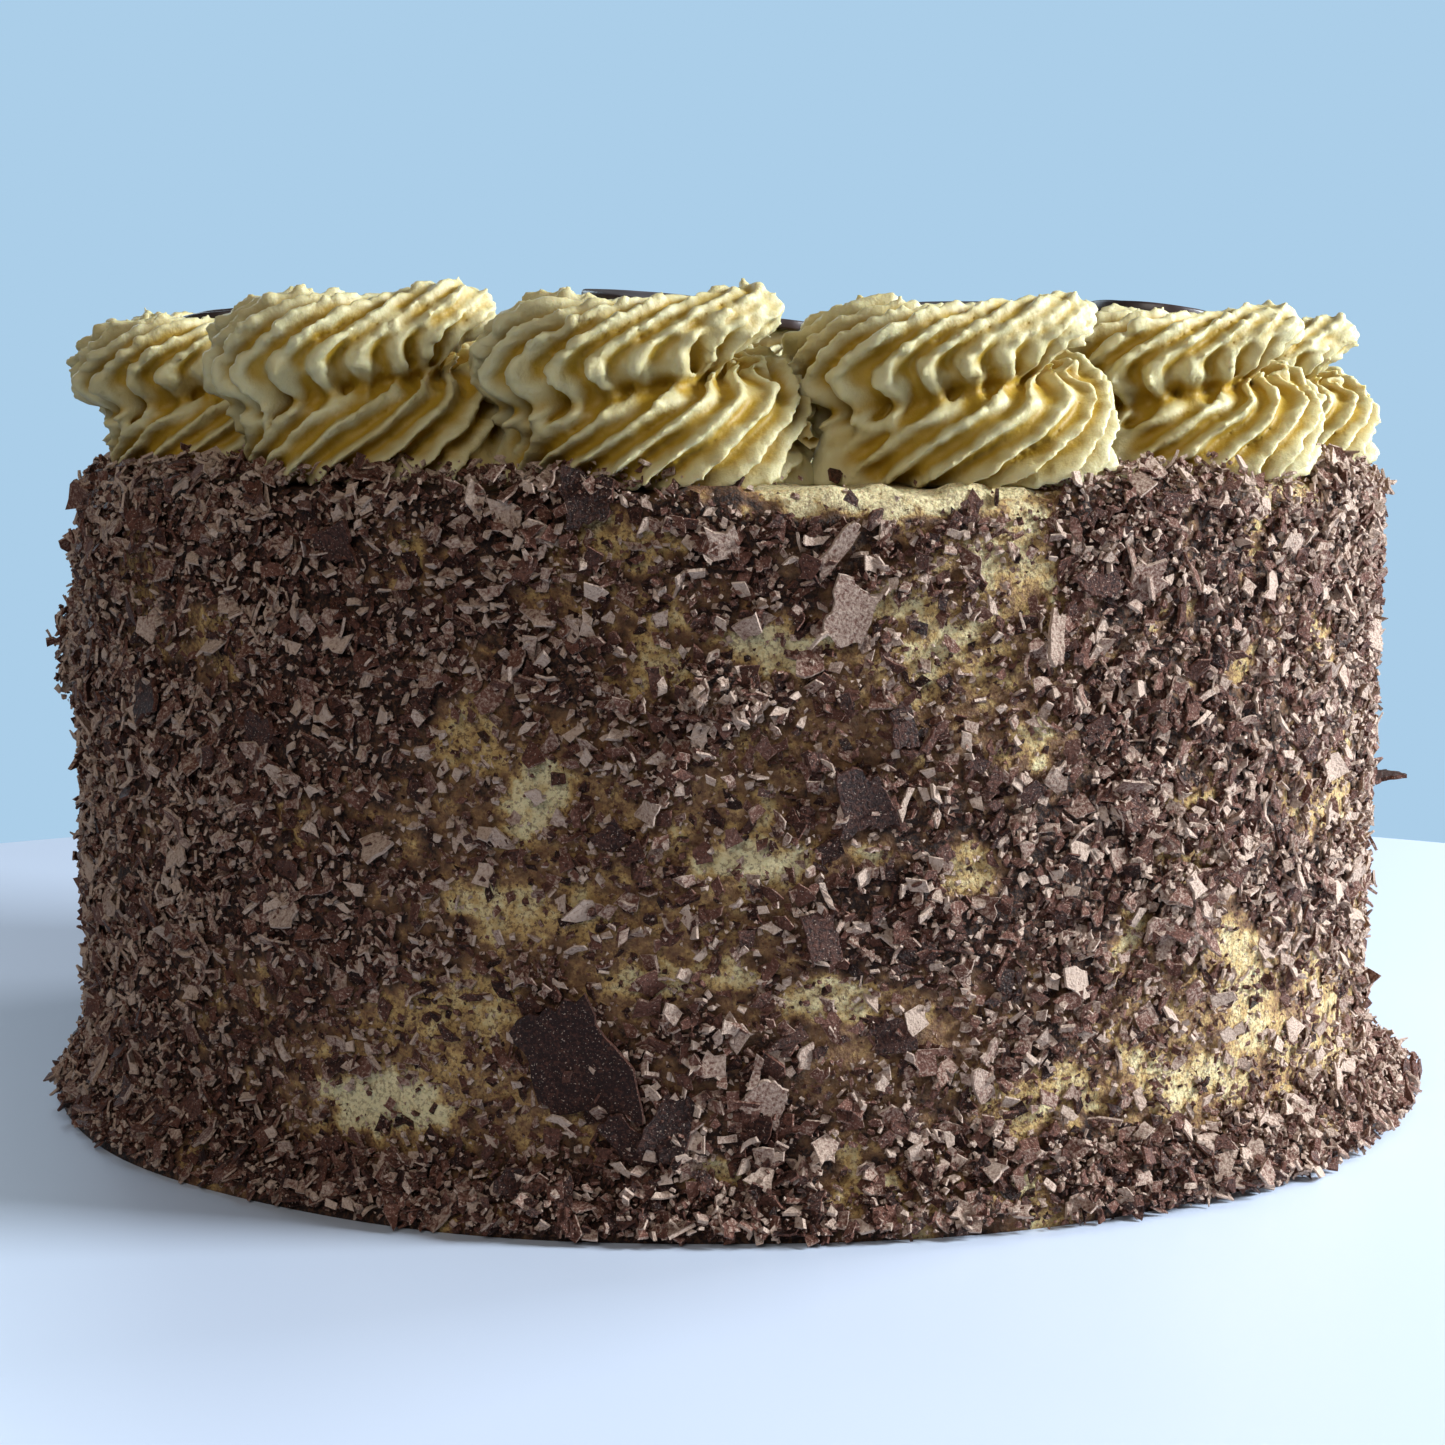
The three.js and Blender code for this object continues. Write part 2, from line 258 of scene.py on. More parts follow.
KINDS = (
    FlakeKind("dust", 48000, 0.40, 1.05, 0.50, (), 0.85, 0.1, 80, 1.6, 0.42, (0.0, 0.9)),
    FlakeKind("crumbs", 16400, 0.6, 1.5, 0.6, (), 0.85, 0.1, 75, 1.7, 0.28, (0.0, 1.0)),
    FlakeKind("bits", 5200, 1.2, 2.8, 0.45, (), 0.7, 0.2, 60, 2.2, 0.10, (0.0, 1.0)),
    FlakeKind("chips", 16300, 0.9, 2.3, 0.36, (), 0.8, 0.2, 52, 2.0, 0.13, (0.0, 1.0)),
    FlakeKind("shavings", 9400, 1.3, 3.0, 0.30, (2, 1), 0.6, 0.9, 46, 2.2, 0.07, (0.0, 1.0)),
    FlakeKind("flakes", 4500, 1.8, 4.2, 0.36, (3, 1), 0.75, 0.5, 38, 2.3, 0.05, (0.0, 1.0)),
    FlakeKind("curls", 420, 2.6, 5.4, 0.28, (6, 1), 0.22, 2.0, 40, 2.3, 0.03, (0.3, 1.0)),
    FlakeKind("plates", 150, 3.8, 6.6, 0.5, (3, 3), 0.8, 0.3, 28, 2.2, 0.03, (0.0, 0.9)),
)


class Lamp(NamedTuple):
    """A square light: its place and size in metres, its share of the key light's power, and its colour."""

    name: str
    place: tuple
    size: float
    share: float
    colour: tuple


LAMPS = (
    Lamp("key", (0.84, -0.18, 0.44), 0.30, 1.0, (0.84, 0.93, 1.0)),
    Lamp("window", (-0.55, 0.65, 0.55), 0.60, 0.20, (0.68, 0.85, 1.0)),
    Lamp("side", (0.80, 0.42, 0.36), 0.30, 0.40, (0.92, 0.96, 1.0)),
    Lamp("fill", (-0.25, -1.1, 0.65), 0.60, 0.25, (1.0, 0.95, 0.88)),
)
LIGHT_AIM_HEIGHT = 0.07

# Settings


def colour_setting(name, description, default):
    """A colour that the panel offers."""
    return FloatVectorProperty(name=name, description=description, default=default, subtype="COLOR", min=0.0,
                               max=1.0)


def length_setting(name, description, default, least=0.0):
    """A length in metres that the panel offers."""
    return FloatProperty(name=name, description=description, default=default, unit="LENGTH", min=least)


def share_setting(name, description, default, least=0.0, most=1.0):
    """A share that the panel offers."""
    return FloatProperty(name=name, description=description, default=default, subtype="FACTOR", min=least,
                         max=most)


class CoatSettings(PropertyGroup):
    """The cream coat under the flakes."""

    relief: length_setting("Relief", "Height of the coat's lumps", 0.0007)
    segments: IntProperty(name="Segments", description="Faces round the cake", default=480, min=48)
    cream: colour_setting("Cream", "Colour of the bare cream", (0.73, 0.61, 0.345))
    golden: colour_setting("Golden", "Colour of thinly spread cream", (0.52, 0.335, 0.125))
    stain: colour_setting("Stain", "Colour of cream that chocolate has rubbed into", (0.22, 0.112, 0.050))
    # Covered is painted shade: a near-black for the shadowed gaps between thick flakes, not the coat's own
    # colour
    shade_under_flakes: colour_setting("Covered", "Colour of the coat under thick flakes", (0.022, 0.009, 0.006))
    specks: colour_setting("Specks", "Colour of the finest crumbs on the cream", (0.12, 0.052, 0.026))


class FlakeSettings(PropertyGroup):
    """The chocolate flakes."""

    amount: share_setting("Amount", "Share of the full number of flakes", 1.0, least=0.01)
    seed: IntProperty(name="Seed", description="Chooses the flakes' places", default=7)
    dark: colour_setting("Dark", "Colour of smooth faces", (0.022, 0.008, 0.006))
    middle: colour_setting("Middle", "Colour of broken faces", (0.175, 0.068, 0.045))
    light: colour_setting("Light", "Colour of scraped faces", (0.61, 0.445, 0.35))


class SwirlSettings(PropertyGroup):
    """The piped swirls."""

    lobes: IntProperty(name="Lobes", description="Teeth of the piping nozzle", default=11, min=5)
    rope_radius: length_setting("Rope Radius", "Radius of the piped rope", 0.0102, 0.001)
    coil_radius: length_setting("Coil Radius", "Radius of the coil's centre line", 0.0122, 0.001)
    lobe_depth: share_setting("Lobe Depth", "Valley depth as a share of the rope's radius", 0.42, most=0.6)
    twist: FloatProperty(name="Twist", description="Turns of the ridges for each turn of the coil",
                         default=1.85)
    grain: length_setting("Grain", "Finest size that the cream's surface keeps", 0.00067, 0.0003)
    crest: colour_setting("Crest", "Colour on the ridges", (0.575, 0.52, 0.30))
    # Valley is painted shade: the darker golden between the ridges stands in for the shade and bounced light
    # in the valleys
    painted_valley_shade: colour_setting("Valley", "Colour between the ridges", (0.36, 0.215, 0.014))


class DiscSettings(PropertyGroup):
    """The chocolate discs."""

    radius: length_setting("Radius", "Radius of a disc", 0.0106, 0.001)
    thickness: length_setting("Thickness", "Thickness of a disc", 0.0018, 0.0003)
    colour: colour_setting("Colour", "Colour of the chocolate", (0.030, 0.016, 0.014))
    bloom: colour_setting("Bloom", "Colour of the faint bloom on it", (0.13, 0.10, 0.11))


class StageSettings(PropertyGroup):
    """The floor, light and camera."""

    floor: colour_setting("Floor", "Colour of the floor", (0.60, 0.67, 0.81))
    floor_radius: length_setting("Floor Radius", "Radius of the round table top", 0.32, 0.12)
    backdrop: colour_setting("Backdrop", "Colour of the surroundings", (0.407, 0.617, 0.815))
    ambient: share_setting("Ambient", "How strongly the surroundings light the cake", 0.075)
    reflected: share_setting("Reflected", "Share of the backdrop that shows in reflections", 0.12)
    ambient_colour: colour_setting("Ambient Colour", "Colour of the surroundings' light", (0.80, 0.76, 0.66))
    key_power: FloatProperty(name="Key Power", description="Power of the light from the right", default=20.0,
                             unit="POWER", min=0.0)
    camera_distance: length_setting("Camera Distance", "Camera to the cake's axis", 0.539)
    camera_height: length_setting("Camera Height", "Camera above the floor", 0.1217)
    camera_pitch: FloatProperty(name="Camera Pitch", description="How far the camera looks down",
                                default=math.radians(6.455), subtype="ANGLE")
    lens: FloatProperty(name="Lens", description="Focal length in millimetres", default=78.28, min=1.0)


# Shared shape functions, for many points at once


def smooth(x, low, high):
    """0 below low, 1 above high and a smooth rise between them."""
    share = np.clip((x - low) / (high - low), 0.0, 1.0)
    return share * share * (3.0 - 2.0 * share)


def blend(low, high, share):
    """The value at a share of the way from low to high."""
    return low + (high - low) * share


def soft_noise(points, size, seed):
    """Smooth noise from about -1 to 1 in lumps of the given size."""
    table = np.random.default_rng(seed).uniform(-1.0, 1.0, NOISE_VALUES)
    scaled = np.asarray(points) / size + NOISE_OFFSET
    cell = np.floor(scaled).astype(np.int64)
    share = smooth(scaled - cell, 0.0, 1.0)
    total = np.zeros(len(scaled))
    for corner in itertools.product((0, 1), repeat=3):
        at = (cell + corner) * NOISE_PRIMES
        index = (at[:, 0] ^ at[:, 1] ^ at[:, 2]) & (NOISE_VALUES - 1)
        weight = np.prod(np.where(corner, share, 1.0 - share), axis=1)
        total += weight * table[index]
    return total


def wall_swell(around, height):
    """How far the wall stands out from its nominal radius, with the rim drawn in on the left."""
    angle = around - math.pi / 2
    rise = height / BODY_HEIGHT
    lean = WALL_LEAN * (1.9 * rise * rise * (1.5 - rise) - 0.25)
    tuck = LEFT_RIM_TUCK * smooth(height, LEFT_TUCK_HEIGHT, BODY_HEIGHT) * smooth(-np.sin(around), 0.75, 1.0)
    wave = np.sin(3 * angle + 0.6 + 1.2 * rise) + 0.7 * np.sin(5 * angle - 1.1 - 2.1 * rise)
    return lean - tuck + 0.5 * WALL_WAVE * wave * smooth(height, 0, FOOT_HEIGHT * 2)


def foot_share(around):
    """How much of its full reach the bank at the foot has."""
    angle = around - math.pi / 2
    return 0.8 + 0.12 * np.cos(2 * angle) + 0.05 * np.sin(6 * angle + 1) + 0.05 * np.cos(10 * angle)


def foot_reach(around):
    """How much further out than the solid the loose flakes lie at the foot: most on the right."""
    return blend(-1.6, 2.6, 0.5 + 0.5 * np.sin(around))


def round_the_cake(around, radius, height):
    """Points at an angle from the front, anticlockwise seen from above, at a radius and a height."""
    parts = np.broadcast_arrays(radius * np.sin(around), -radius * np.cos(around), height)
    return np.stack(parts, axis=-1)


def body_radius(around, radius, height):
    """The nominal radius with the foot's reach and the wall's swell."""
    foot = np.maximum(0.0, radius - WALL_RADIUS) * (foot_share(around) - 1.0)
    outside = smooth(radius, WALL_RADIUS * 0.5, WALL_RADIUS * 0.9)
    return radius + outside * (foot + wall_swell(around, height))


def patch_strength(patches, around, height, ragged):
    """The strongest of several patches at each place, with ragged edges."""
    strongest = np.zeros(len(around))
    for patch in patches:
        turn = (around - math.radians(patch.around) + math.pi) % (2 * math.pi) - math.pi
        reach = np.hypot(turn * WALL_RADIUS / patch.half_width, (height - patch.height) / patch.half_height)
        strongest = np.maximum(strongest, patch.strength * smooth(1.45 - reach - ragged, 0.0, 0.8))
    return strongest


def patches_round(count, seed, start_deg, span_deg, *ranges):
    """Patches spread over part of the wall, each of their other measures drawn from its own range."""
    draw = np.random.default_rng(seed)
    found = []
    for i in range(count):
        around = start_deg + span_deg * (i + draw.uniform(0.1, 0.9)) / count
        found.append(Patch(around, *(draw.uniform(low, high) for low, high in ranges)))
    return tuple(found)


# The sides and the back have patches and clumps of the same kinds as the front
ALL_BARE = BARE_PATCHES + patches_round(17, 3, 90, 180, (8, 98), (4, 12), (2.2, 5.5), (0.5, 1))
ALL_CLUMPS = CLUMPS + patches_round(11, 5, 80, 200, (15, 95), (5, 10), (4, 8), (1.8, 3.6))


def flake_cover(around, height):
    """Share of the surface that flakes cover: 0 on bare cream, 1 where none of it shows."""
    place = round_the_cake(around, WALL_RADIUS, height)
    ragged = 0.5 * soft_noise(place, 5.0, 11) + 0.5 * soft_noise(place, 2.4, 12)
    ragged += 0.3 * soft_noise(place, 1.3, 17)
    bare = patch_strength(ALL_BARE, around, height, ragged)
    spread = 0.8 + 0.2 * np.cos(2 * (around - math.radians(25)))
    uneven = soft_noise(place, 13.0, 13) + 0.9 * ragged + 0.4 * thin_lit_side(around)
    return 1.0 - np.maximum(bare, 0.85 * spread * smooth(uneven, 0.05, 0.85))


def clump_lift(around, height):
    """How far the flakes stand out from the wall in clumps, in millimetres."""
    place = round_the_cake(around, WALL_RADIUS, height)
    ragged = 0.35 * soft_noise(place, 4.0, 14)
    low_heaps = 1.3 * smooth(soft_noise(place, 9.0, 15), 0.15, 0.8)
    return np.maximum(patch_strength(ALL_CLUMPS, around, height, ragged), low_heaps)


def signed_degrees(around):
    """An angle in degrees, from -180 to 180."""
    return np.degrees((around + math.pi) % (2 * math.pi) - math.pi)


def open_rim(around):
    """1 where the rim at the front is bare cream."""
    turn = signed_degrees(around)
    return smooth(turn, -7, -1) * (1.0 - smooth(turn, 22, 28))


def thin_lit_side(around):
    """1 on the right of the cake, where the flakes are thinner and their tones are painted lighter, a painted
    light for the brighter lit right side.
    """
    turn = signed_degrees(around)
    return smooth(turn, 28, 62) * (1.0 - smooth(turn, 95, 140))


def rim_heap(around):
    """How high the flakes lie heaped on the rim: none above the bare rim at the front, few on the left."""
    place = round_the_cake(around, WALL_RADIUS, BODY_HEIGHT)
    left = smooth(np.cos(around + math.radians(100)), 0.55, 0.9)
    return (1.0 - open_rim(around)) * (1.0 - 0.75 * left) * (2.6 + 1.4 * soft_noise(place, 11.0, 16))


def outline_points():
    """The coat's outline from the middle of the top, over the rim and down to the middle of the underside."""
    top = BODY_HEIGHT
    rim = WALL_RADIUS - RIM_ROUNDING
    rim_turn = [math.radians(90 - 15 * i) for i in range(7)]
    arc = [(rim + RIM_ROUNDING * math.cos(a), top - RIM_ROUNDING * (1 - math.sin(a))) for a in rim_turn]
    # Each corner has a radius, a height, and the spacing of the points from there to the next corner
    corners = [(0.0, top, 2.6), (62.0, top, 1.7), *[(r, z, 0.95) for r, z in arc],
               (WALL_RADIUS + 0.6, FOOT_HEIGHT, 1.2), (FOOT_RADIUS - 1.4, 2.8, 1.2), (FOOT_RADIUS, 0.0, 45.0),
               (0.0, 0.0, 1.0)]
    points = []
    for (r0, z0, step), (r1, z1, _) in zip(corners, corners[1:]):
        pieces = max(1, round(math.hypot(r1 - r0, z1 - z0) / step))
        points += [(blend(r0, r1, i / pieces), blend(z0, z1, i / pieces)) for i in range(pieces)]
    return points + [(0.0, 0.0)]


# Mesh helpers


def mesh_from(shape, name):
    """A new mesh from a bmesh in metres, which it frees."""
    mesh = bpy.data.meshes.new(name)
    shape.to_mesh(mesh)
    shape.free()
    return mesh


def object_from(mesh, name):
    """A new object in the scene that shows a mesh."""
    mesh.name = name
    piece = bpy.data.objects.new(name, mesh)
    bpy.context.scene.collection.objects.link(piece)
    return piece


def vectors(items, field):
    """A field of a mesh's points as an array, three numbers for each."""
    flat = np.empty(len(items) * 3)
    items.foreach_get(field, flat)
    return flat.reshape(-1, 3)


def mesh_points(mesh):
    """A mesh's points as an array, in millimetres."""
    return vectors(mesh.vertices, "co") / MM


def set_points(mesh, points):
    """Puts points in millimetres back into the mesh."""
    mesh.vertices.foreach_set("co", (points * MM).astype(np.float32).ravel())
    mesh.update()


def set_attribute(mesh, name, values, domain="POINT"):
    """Stores one number for each point or face, for the material to read."""
    layer = mesh.attributes.new(name, "FLOAT", domain)
    layer.data.foreach_set("value", np.asarray(values, dtype=np.float32))


def wrapped_grid(name, across, along):
    """A flat grid that will be wrapped round an axis: its columns go round and its rows go along."""
    shape = bmesh.new()
    bmesh.ops.create_grid(shape, x_segments=across, y_segments=along, size=0.5)
    return mesh_from(shape, name)


def wrapped_places(mesh, along):
    """For each point of a wrapped grid: its share of the way round, and the number of its row."""
    flat = mesh_points(mesh) * MM + 0.5
    return flat[:, 0], np.rint(flat[:, 1] * along).astype(int)


def close_seams(mesh):
    """Joins the points that meet, fills open ends, and turns every face outwards."""
    shape = bmesh.new()
    shape.from_mesh(mesh)
    bmesh.ops.remove_doubles(shape, verts=shape.verts, dist=1e-7)
    bmesh.ops.holes_fill(shape, edges=[e for e in shape.edges if e.is_boundary], sides=0)
    bmesh.ops.recalc_face_normals(shape, faces=shape.faces)
    shape.to_mesh(mesh)
    shape.free()


def thicken(shape, thickness):
    """Gives a flat shape a thickness, half of it on either side."""
    grown = bmesh.ops.extrude_face_region(shape, geom=shape.faces[:])["geom"]
    raised = [part for part in grown if isinstance(part, bmesh.types.BMVert)]
    bmesh.ops.translate(shape, verts=raised, vec=(0, 0, thickness))
    bmesh.ops.translate(shape, verts=shape.verts, vec=(0, 0, -thickness / 2))
    bmesh.ops.recalc_face_normals(shape, faces=shape.faces)


def finish_piece(piece, nodes, material, shade_smooth):
    """Gives a piece its material and ties it to the frame."""
    piece.data.materials.clear()
    piece.data.materials.append(material)
    piece.data.polygons.foreach_set("use_smooth", [shade_smooth] * len(piece.data.polygons))
    piece.data.update()
    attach(piece, "root")
    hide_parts(*nodes)


def finish_ring(kind, prefix, material, build):
    """Builds one piece for each place in the ring of swirls, ties it to the frame and hides the solid that it
    replaces.
    """
    for index in range(SWIRL_COUNT):
        name = f"{kind}_{index + 1:02d}"
        finish_piece(object_from(build(index), f"{prefix}_{name}"), [name], material, True)


# Coat


def coat_mesh(settings):
    """The coat: its outline carried round the axis, then made uneven, with the flakes' cover stored on it."""
    outline = np.array(outline_points())
    mesh = wrapped_grid("coat", settings.segments, len(outline) - 1)
    share, row = wrapped_places(mesh, len(outline) - 1)
    set_points(mesh, round_the_cake(2 * math.pi * share, outline[row, 0], outline[row, 1]))
    close_seams(mesh)

    points = mesh_points(mesh)
    radius = np.hypot(points[:, 0], points[:, 1])
    around = np.arctan2(points[:, 0], -points[:, 1])
    height = points[:, 2]
    cover = flake_cover(around, height)
    on_top = (height > BODY_HEIGHT - 0.01) * (1.0 - smooth(radius, WALL_RADIUS - 6, WALL_RADIUS - 3))
    crumbed = 0.75 * smooth(radius, 84, 92) * (1.0 - open_rim(around))
    crumbed += 0.15 * smooth(soft_noise(points, 9.0, 26), 0.1, 0.8)
    cover = blend(cover, crumbed + TOP_PLAINNESS * (1.0 - smooth(radius, 80, 96)), on_top)
    lumps = 0.6 * soft_noise(points, 6.5, 21) + 0.3 * soft_noise(points, 2.6, 22)
    lumps += 0.25 * (1.0 - cover) * soft_noise(points, 1.5, 23)
    relief = settings.relief / MM
    wall = smooth(radius, WALL_RADIUS - 5, WALL_RADIUS - 1) * smooth(height, 0.0, 2.0)
    lip = smooth(height, BODY_HEIGHT - 4, BODY_HEIGHT - 1) * smooth(radius, WALL_RADIUS - 9, WALL_RADIUS - 3)
    ragged_lip = lip * 1.1 * soft_noise(points * (1, 1, 0.6), 3.4, 24)
    new_radius = body_radius(around, radius, height) + wall * relief * lumps + 0.5 * ragged_lip
    spread = 0.45 * np.sin(radius * 0.55 + 1.1 * around + 0.8 * soft_noise(points, 22.0, 25))
    top_relief = on_top * (0.5 * spread + 0.8 * lumps * relief) + ragged_lip * (height > BODY_HEIGHT - 1.5)
    new_height = height + top_relief
    set_points(mesh, round_the_cake(around, new_radius, np.maximum(new_height, 0.0)))
    set_attribute(mesh, "cover", cover)
    return mesh


# Flakes


def chip_base(name, cells):
    """One closed flake of about size 1 in the XY plane, its thickness along Z."""
    shape = bmesh.new()
    if name in ("dust", "crumbs"):
        sides, upper = (3, 0.0) if name == "dust" else (4, 0.44)
        bmesh.ops.create_cone(shape, cap_ends=True, segments=sides, radius1=0.6, radius2=upper, depth=1.0)
        bmesh.ops.remove_doubles(shape, verts=shape.verts, dist=1e-4)
        return shape
    if cells:
        bmesh.ops.create_grid(shape, x_segments=cells[0], y_segments=cells[1], size=0.5)
    else:
        bmesh.ops.create_circle(shape, cap_ends=True, segments=4, radius=0.62)
    thicken(shape, 1.0)
    return shape


def rotations(spin, tip, sway):
    """A rotation matrix for each flake: spun in its plane, then tipped and swayed out of it."""
    cos_s, sin_s = np.cos(spin), np.sin(spin)
    cos_t, sin_t = np.cos(tip), np.sin(tip)
    cos_w, sin_w = np.cos(sway), np.sin(sway)
    zero, one = np.zeros_like(spin), np.ones_like(spin)
    turn = np.array([[cos_s, -sin_s, zero], [sin_s, cos_s, zero], [zero, zero, one]]).transpose(2, 0, 1)
    lean = np.array([[one, zero, zero], [zero, cos_t, -sin_t], [zero, sin_t, cos_t]]).transpose(2, 0, 1)
    side = np.array([[cos_w, zero, sin_w], [zero, one, zero], [-sin_w, zero, cos_w]]).transpose(2, 0, 1)
    return side @ lean @ turn


def in_fixed_order(base):
    """A base flake's corners, faces and which faces are sides, in an order that is the same in each run."""
    ordered = sorted(base.verts, key=lambda v: tuple(round(number, 4) for number in v.co))
    number_of = {v: number for number, v in enumerate(ordered)}
    faces = []
    for face in base.faces:
        loop = [number_of[v] for v in face.verts]
        first = loop.index(min(loop))
        faces.append((loop[first:] + loop[:first], abs(face.normal.z) < 0.5))
    faces.sort()
    corner = np.array([v.co for v in ordered])
    base.free()
    return corner, [loop for loop, _ in faces], np.array([is_side for _, is_side in faces])


def joined_flakes(name, base, centres, axes, sizes, widths, thicks, bends, tones, draw):
    """One mesh of many copies of a base flake, each with its own size, outline, bend, place and tone."""
    corner, faces, is_side = in_fixed_order(base)
    columns = np.unique(np.round(corner[:, :2], 4), axis=0, return_inverse=True)[1].ravel()
    count, per_copy = len(centres), len(corner)

    jitter = draw.uniform(-1, 1, (count, columns.max() + 1, 2))[:, columns]
    from_middle = np.minimum(np.hypot(corner[:, 0], corner[:, 1]) * 2, 1.0)
    local = np.repeat(corner[None], count, axis=0)
    taper = draw.uniform(-FLAKE_TAPER, FLAKE_TAPER, (2, count, 1))
    slant = draw.uniform(-FLAKE_SLANT, FLAKE_SLANT, (count, 1))
    local[:, :, 0] *= 1.0 + taper[0] * corner[:, 1]
    local[:, :, 1] *= 1.0 + taper[1] * corner[:, 0]
    local[:, :, 0] += slant * corner[:, 1]
    around = np.arctan2(corner[:, 1], corner[:, 0])
    phases = draw.uniform(-math.pi, math.pi, (len(OUTLINE_WAVES), count, 1))
    outline = sum(size * np.sin(waves * around + phase)
                  for (waves, size), phase in zip(OUTLINE_WAVES, phases))
    local[:, :, :2] *= (1.0 + outline * from_middle)[:, :, None]
    local[:, :, :2] += CORNER_JITTER / math.sqrt(columns.max() + 1) * jitter * from_middle[None, :, None]
    x = local[:, :, 0] * sizes[:, None]
    y = local[:, :, 1] * (sizes * widths)[:, None]
    z = local[:, :, 2] * thicks[:, None]
    bend = (bends / sizes)[:, None]
    bent_x = np.sin(x * bend) / bend - z * np.sin(x * bend)
    bent_z = (1.0 - np.cos(x * bend)) / bend + z * np.cos(x * bend)
    shaped = np.stack([bent_x, y, bent_z], axis=-1)
    placed = np.einsum("nij,nkj->nki", axes, shaped) + centres[:, None, :]
    lowest = placed[:, :, 2].min(axis=1)
    placed[:, :, 2] += np.maximum(0.0, LEAST_FLAKE_HEIGHT - lowest)[:, None]

    loops = np.concatenate([np.array(face) for face in faces])
    totals = np.array([len(face) for face in faces])
    all_loops = (loops[None, :] + per_copy * np.arange(count)[:, None]).ravel()
    starts = np.concatenate([[0], np.cumsum(np.tile(totals, count))[:-1]])
    mesh = bpy.data.meshes.new(name)
    mesh.vertices.add(count * per_copy)
    mesh.loops.add(len(all_loops))
    mesh.loops.foreach_set("vertex_index", all_loops.astype(np.int32))
    mesh.polygons.add(len(starts))
    mesh.polygons.foreach_set("loop_start", starts.astype(np.int32))
    mesh.vertices.foreach_set("co", (placed * MM).astype(np.float32).ravel())
    mesh.update(calc_edges=True)
    face_tones = tones[:, None] + SIDE_FACE_TONE * is_side[None, :]
    face_tones = face_tones + draw.uniform(-TONE_SPREAD, TONE_SPREAD, (count, len(faces)))
    set_attribute(mesh, "tone", np.clip(face_tones, 0.0, 1.0).ravel(), "FACE")
    return mesh


def surface_walk():
    """The flaked surface from the foot's edge up the wall and over the rim: lengths, radii and heights."""
    top = BODY_HEIGHT
    corners = np.array([
        (FOOT_RADIUS + 0.4, 0.3), (FOOT_RADIUS - 1.8, 2.8), (WALL_RADIUS + 0.6, FOOT_HEIGHT),
        (WALL_RADIUS, FOOT_HEIGHT + 12), (WALL_RADIUS, top - 3), (WALL_RADIUS - 1.1, top - 0.9),
        (WALL_RADIUS - 3.6, top), (WALL_RADIUS - TOP_BAND, top),
    ])
    lengths = np.concatenate([[0], np.cumsum(np.hypot(*np.diff(corners, axis=0).T))])
    return lengths, corners[:, 0], corners[:, 1]


def surface_frames(around, length):
    """Place and axes (right, up along the surface, outwards) at an angle and a length up the surface."""
    lengths, radii, heights = surface_walk()
    step = 0.6
    radius, height = np.interp(length, lengths, radii), np.interp(length, lengths, heights)
    rise_r = np.interp(length + step, lengths, radii) - np.interp(length - step, lengths, radii)
    rise_z = np.interp(length + step, lengths, heights) - np.interp(length - step, lengths, heights)
    size = np.hypot(rise_r, rise_z) + 1e-9
    rise_r, rise_z = rise_r / size, rise_z / size
    reach = foot_reach(around) * (1.0 - smooth(height, 0.0, FOOT_HEIGHT))
    place = round_the_cake(around, body_radius(around, radius, height) + reach, height)
    right = round_the_cake(around + math.pi / 2, 1.0, np.zeros_like(around))
    outwards = round_the_cake(around, 1.0, np.zeros_like(around))
    up = np.array([0.0, 0.0, 1.0])
    along = outwards * rise_r[:, None] + up * rise_z[:, None]
    normal = outwards * rise_z[:, None] - up * rise_r[:, None]
    return place, np.stack([right, along, normal], axis=-1), height


def flake_places(kind, count, draw):
    """Chooses where a kind's flakes lie: angle round, length up the surface, and lift off it."""
    lengths, _, heights = surface_walk()
    tries = count * PLACES_TRIED
    around = draw.uniform(-math.pi, math.pi, tries)
    length = draw.uniform(0, lengths[-1], tries)
    height = np.interp(length, lengths, heights)
    clump = clump_lift(around, height)
    cover = flake_cover(around, height)
    at_rim = smooth(length, lengths[RIM_BELOW] - 2, lengths[RIM_TURN])
    inside = smooth(length, lengths[TOP_EDGE] - 1, lengths[TOP_EDGE] + 2)
    at_foot = 1.0 - smooth(length, lengths[FOOT_TOP] - 3, lengths[FOOT_TOP] + 4)
    heap = rim_heap(around)
    density = kind.on_bare + (1.0 - kind.on_bare) * cover ** 1.5
    density = density * (1.0 + 0.35 * clump + 0.9 * at_foot)
    density = density * blend(1.0, 0.15 + 0.45 * heap, at_rim) * blend(1.0, 0.25, inside)
    chosen = draw.choice(tries, count, replace=False, p=density / density.sum())
    around, length = around[chosen], length[chosen]
    lift = kind.lift * draw.uniform(0, 1, count) ** 1.6
    extra = np.maximum(clump * (1 - at_rim), at_rim * heap) + 1.6 * at_foot
    lift = lift + extra[chosen] * draw.uniform(0, 1, count) * cover[chosen]
    return around, length, lift


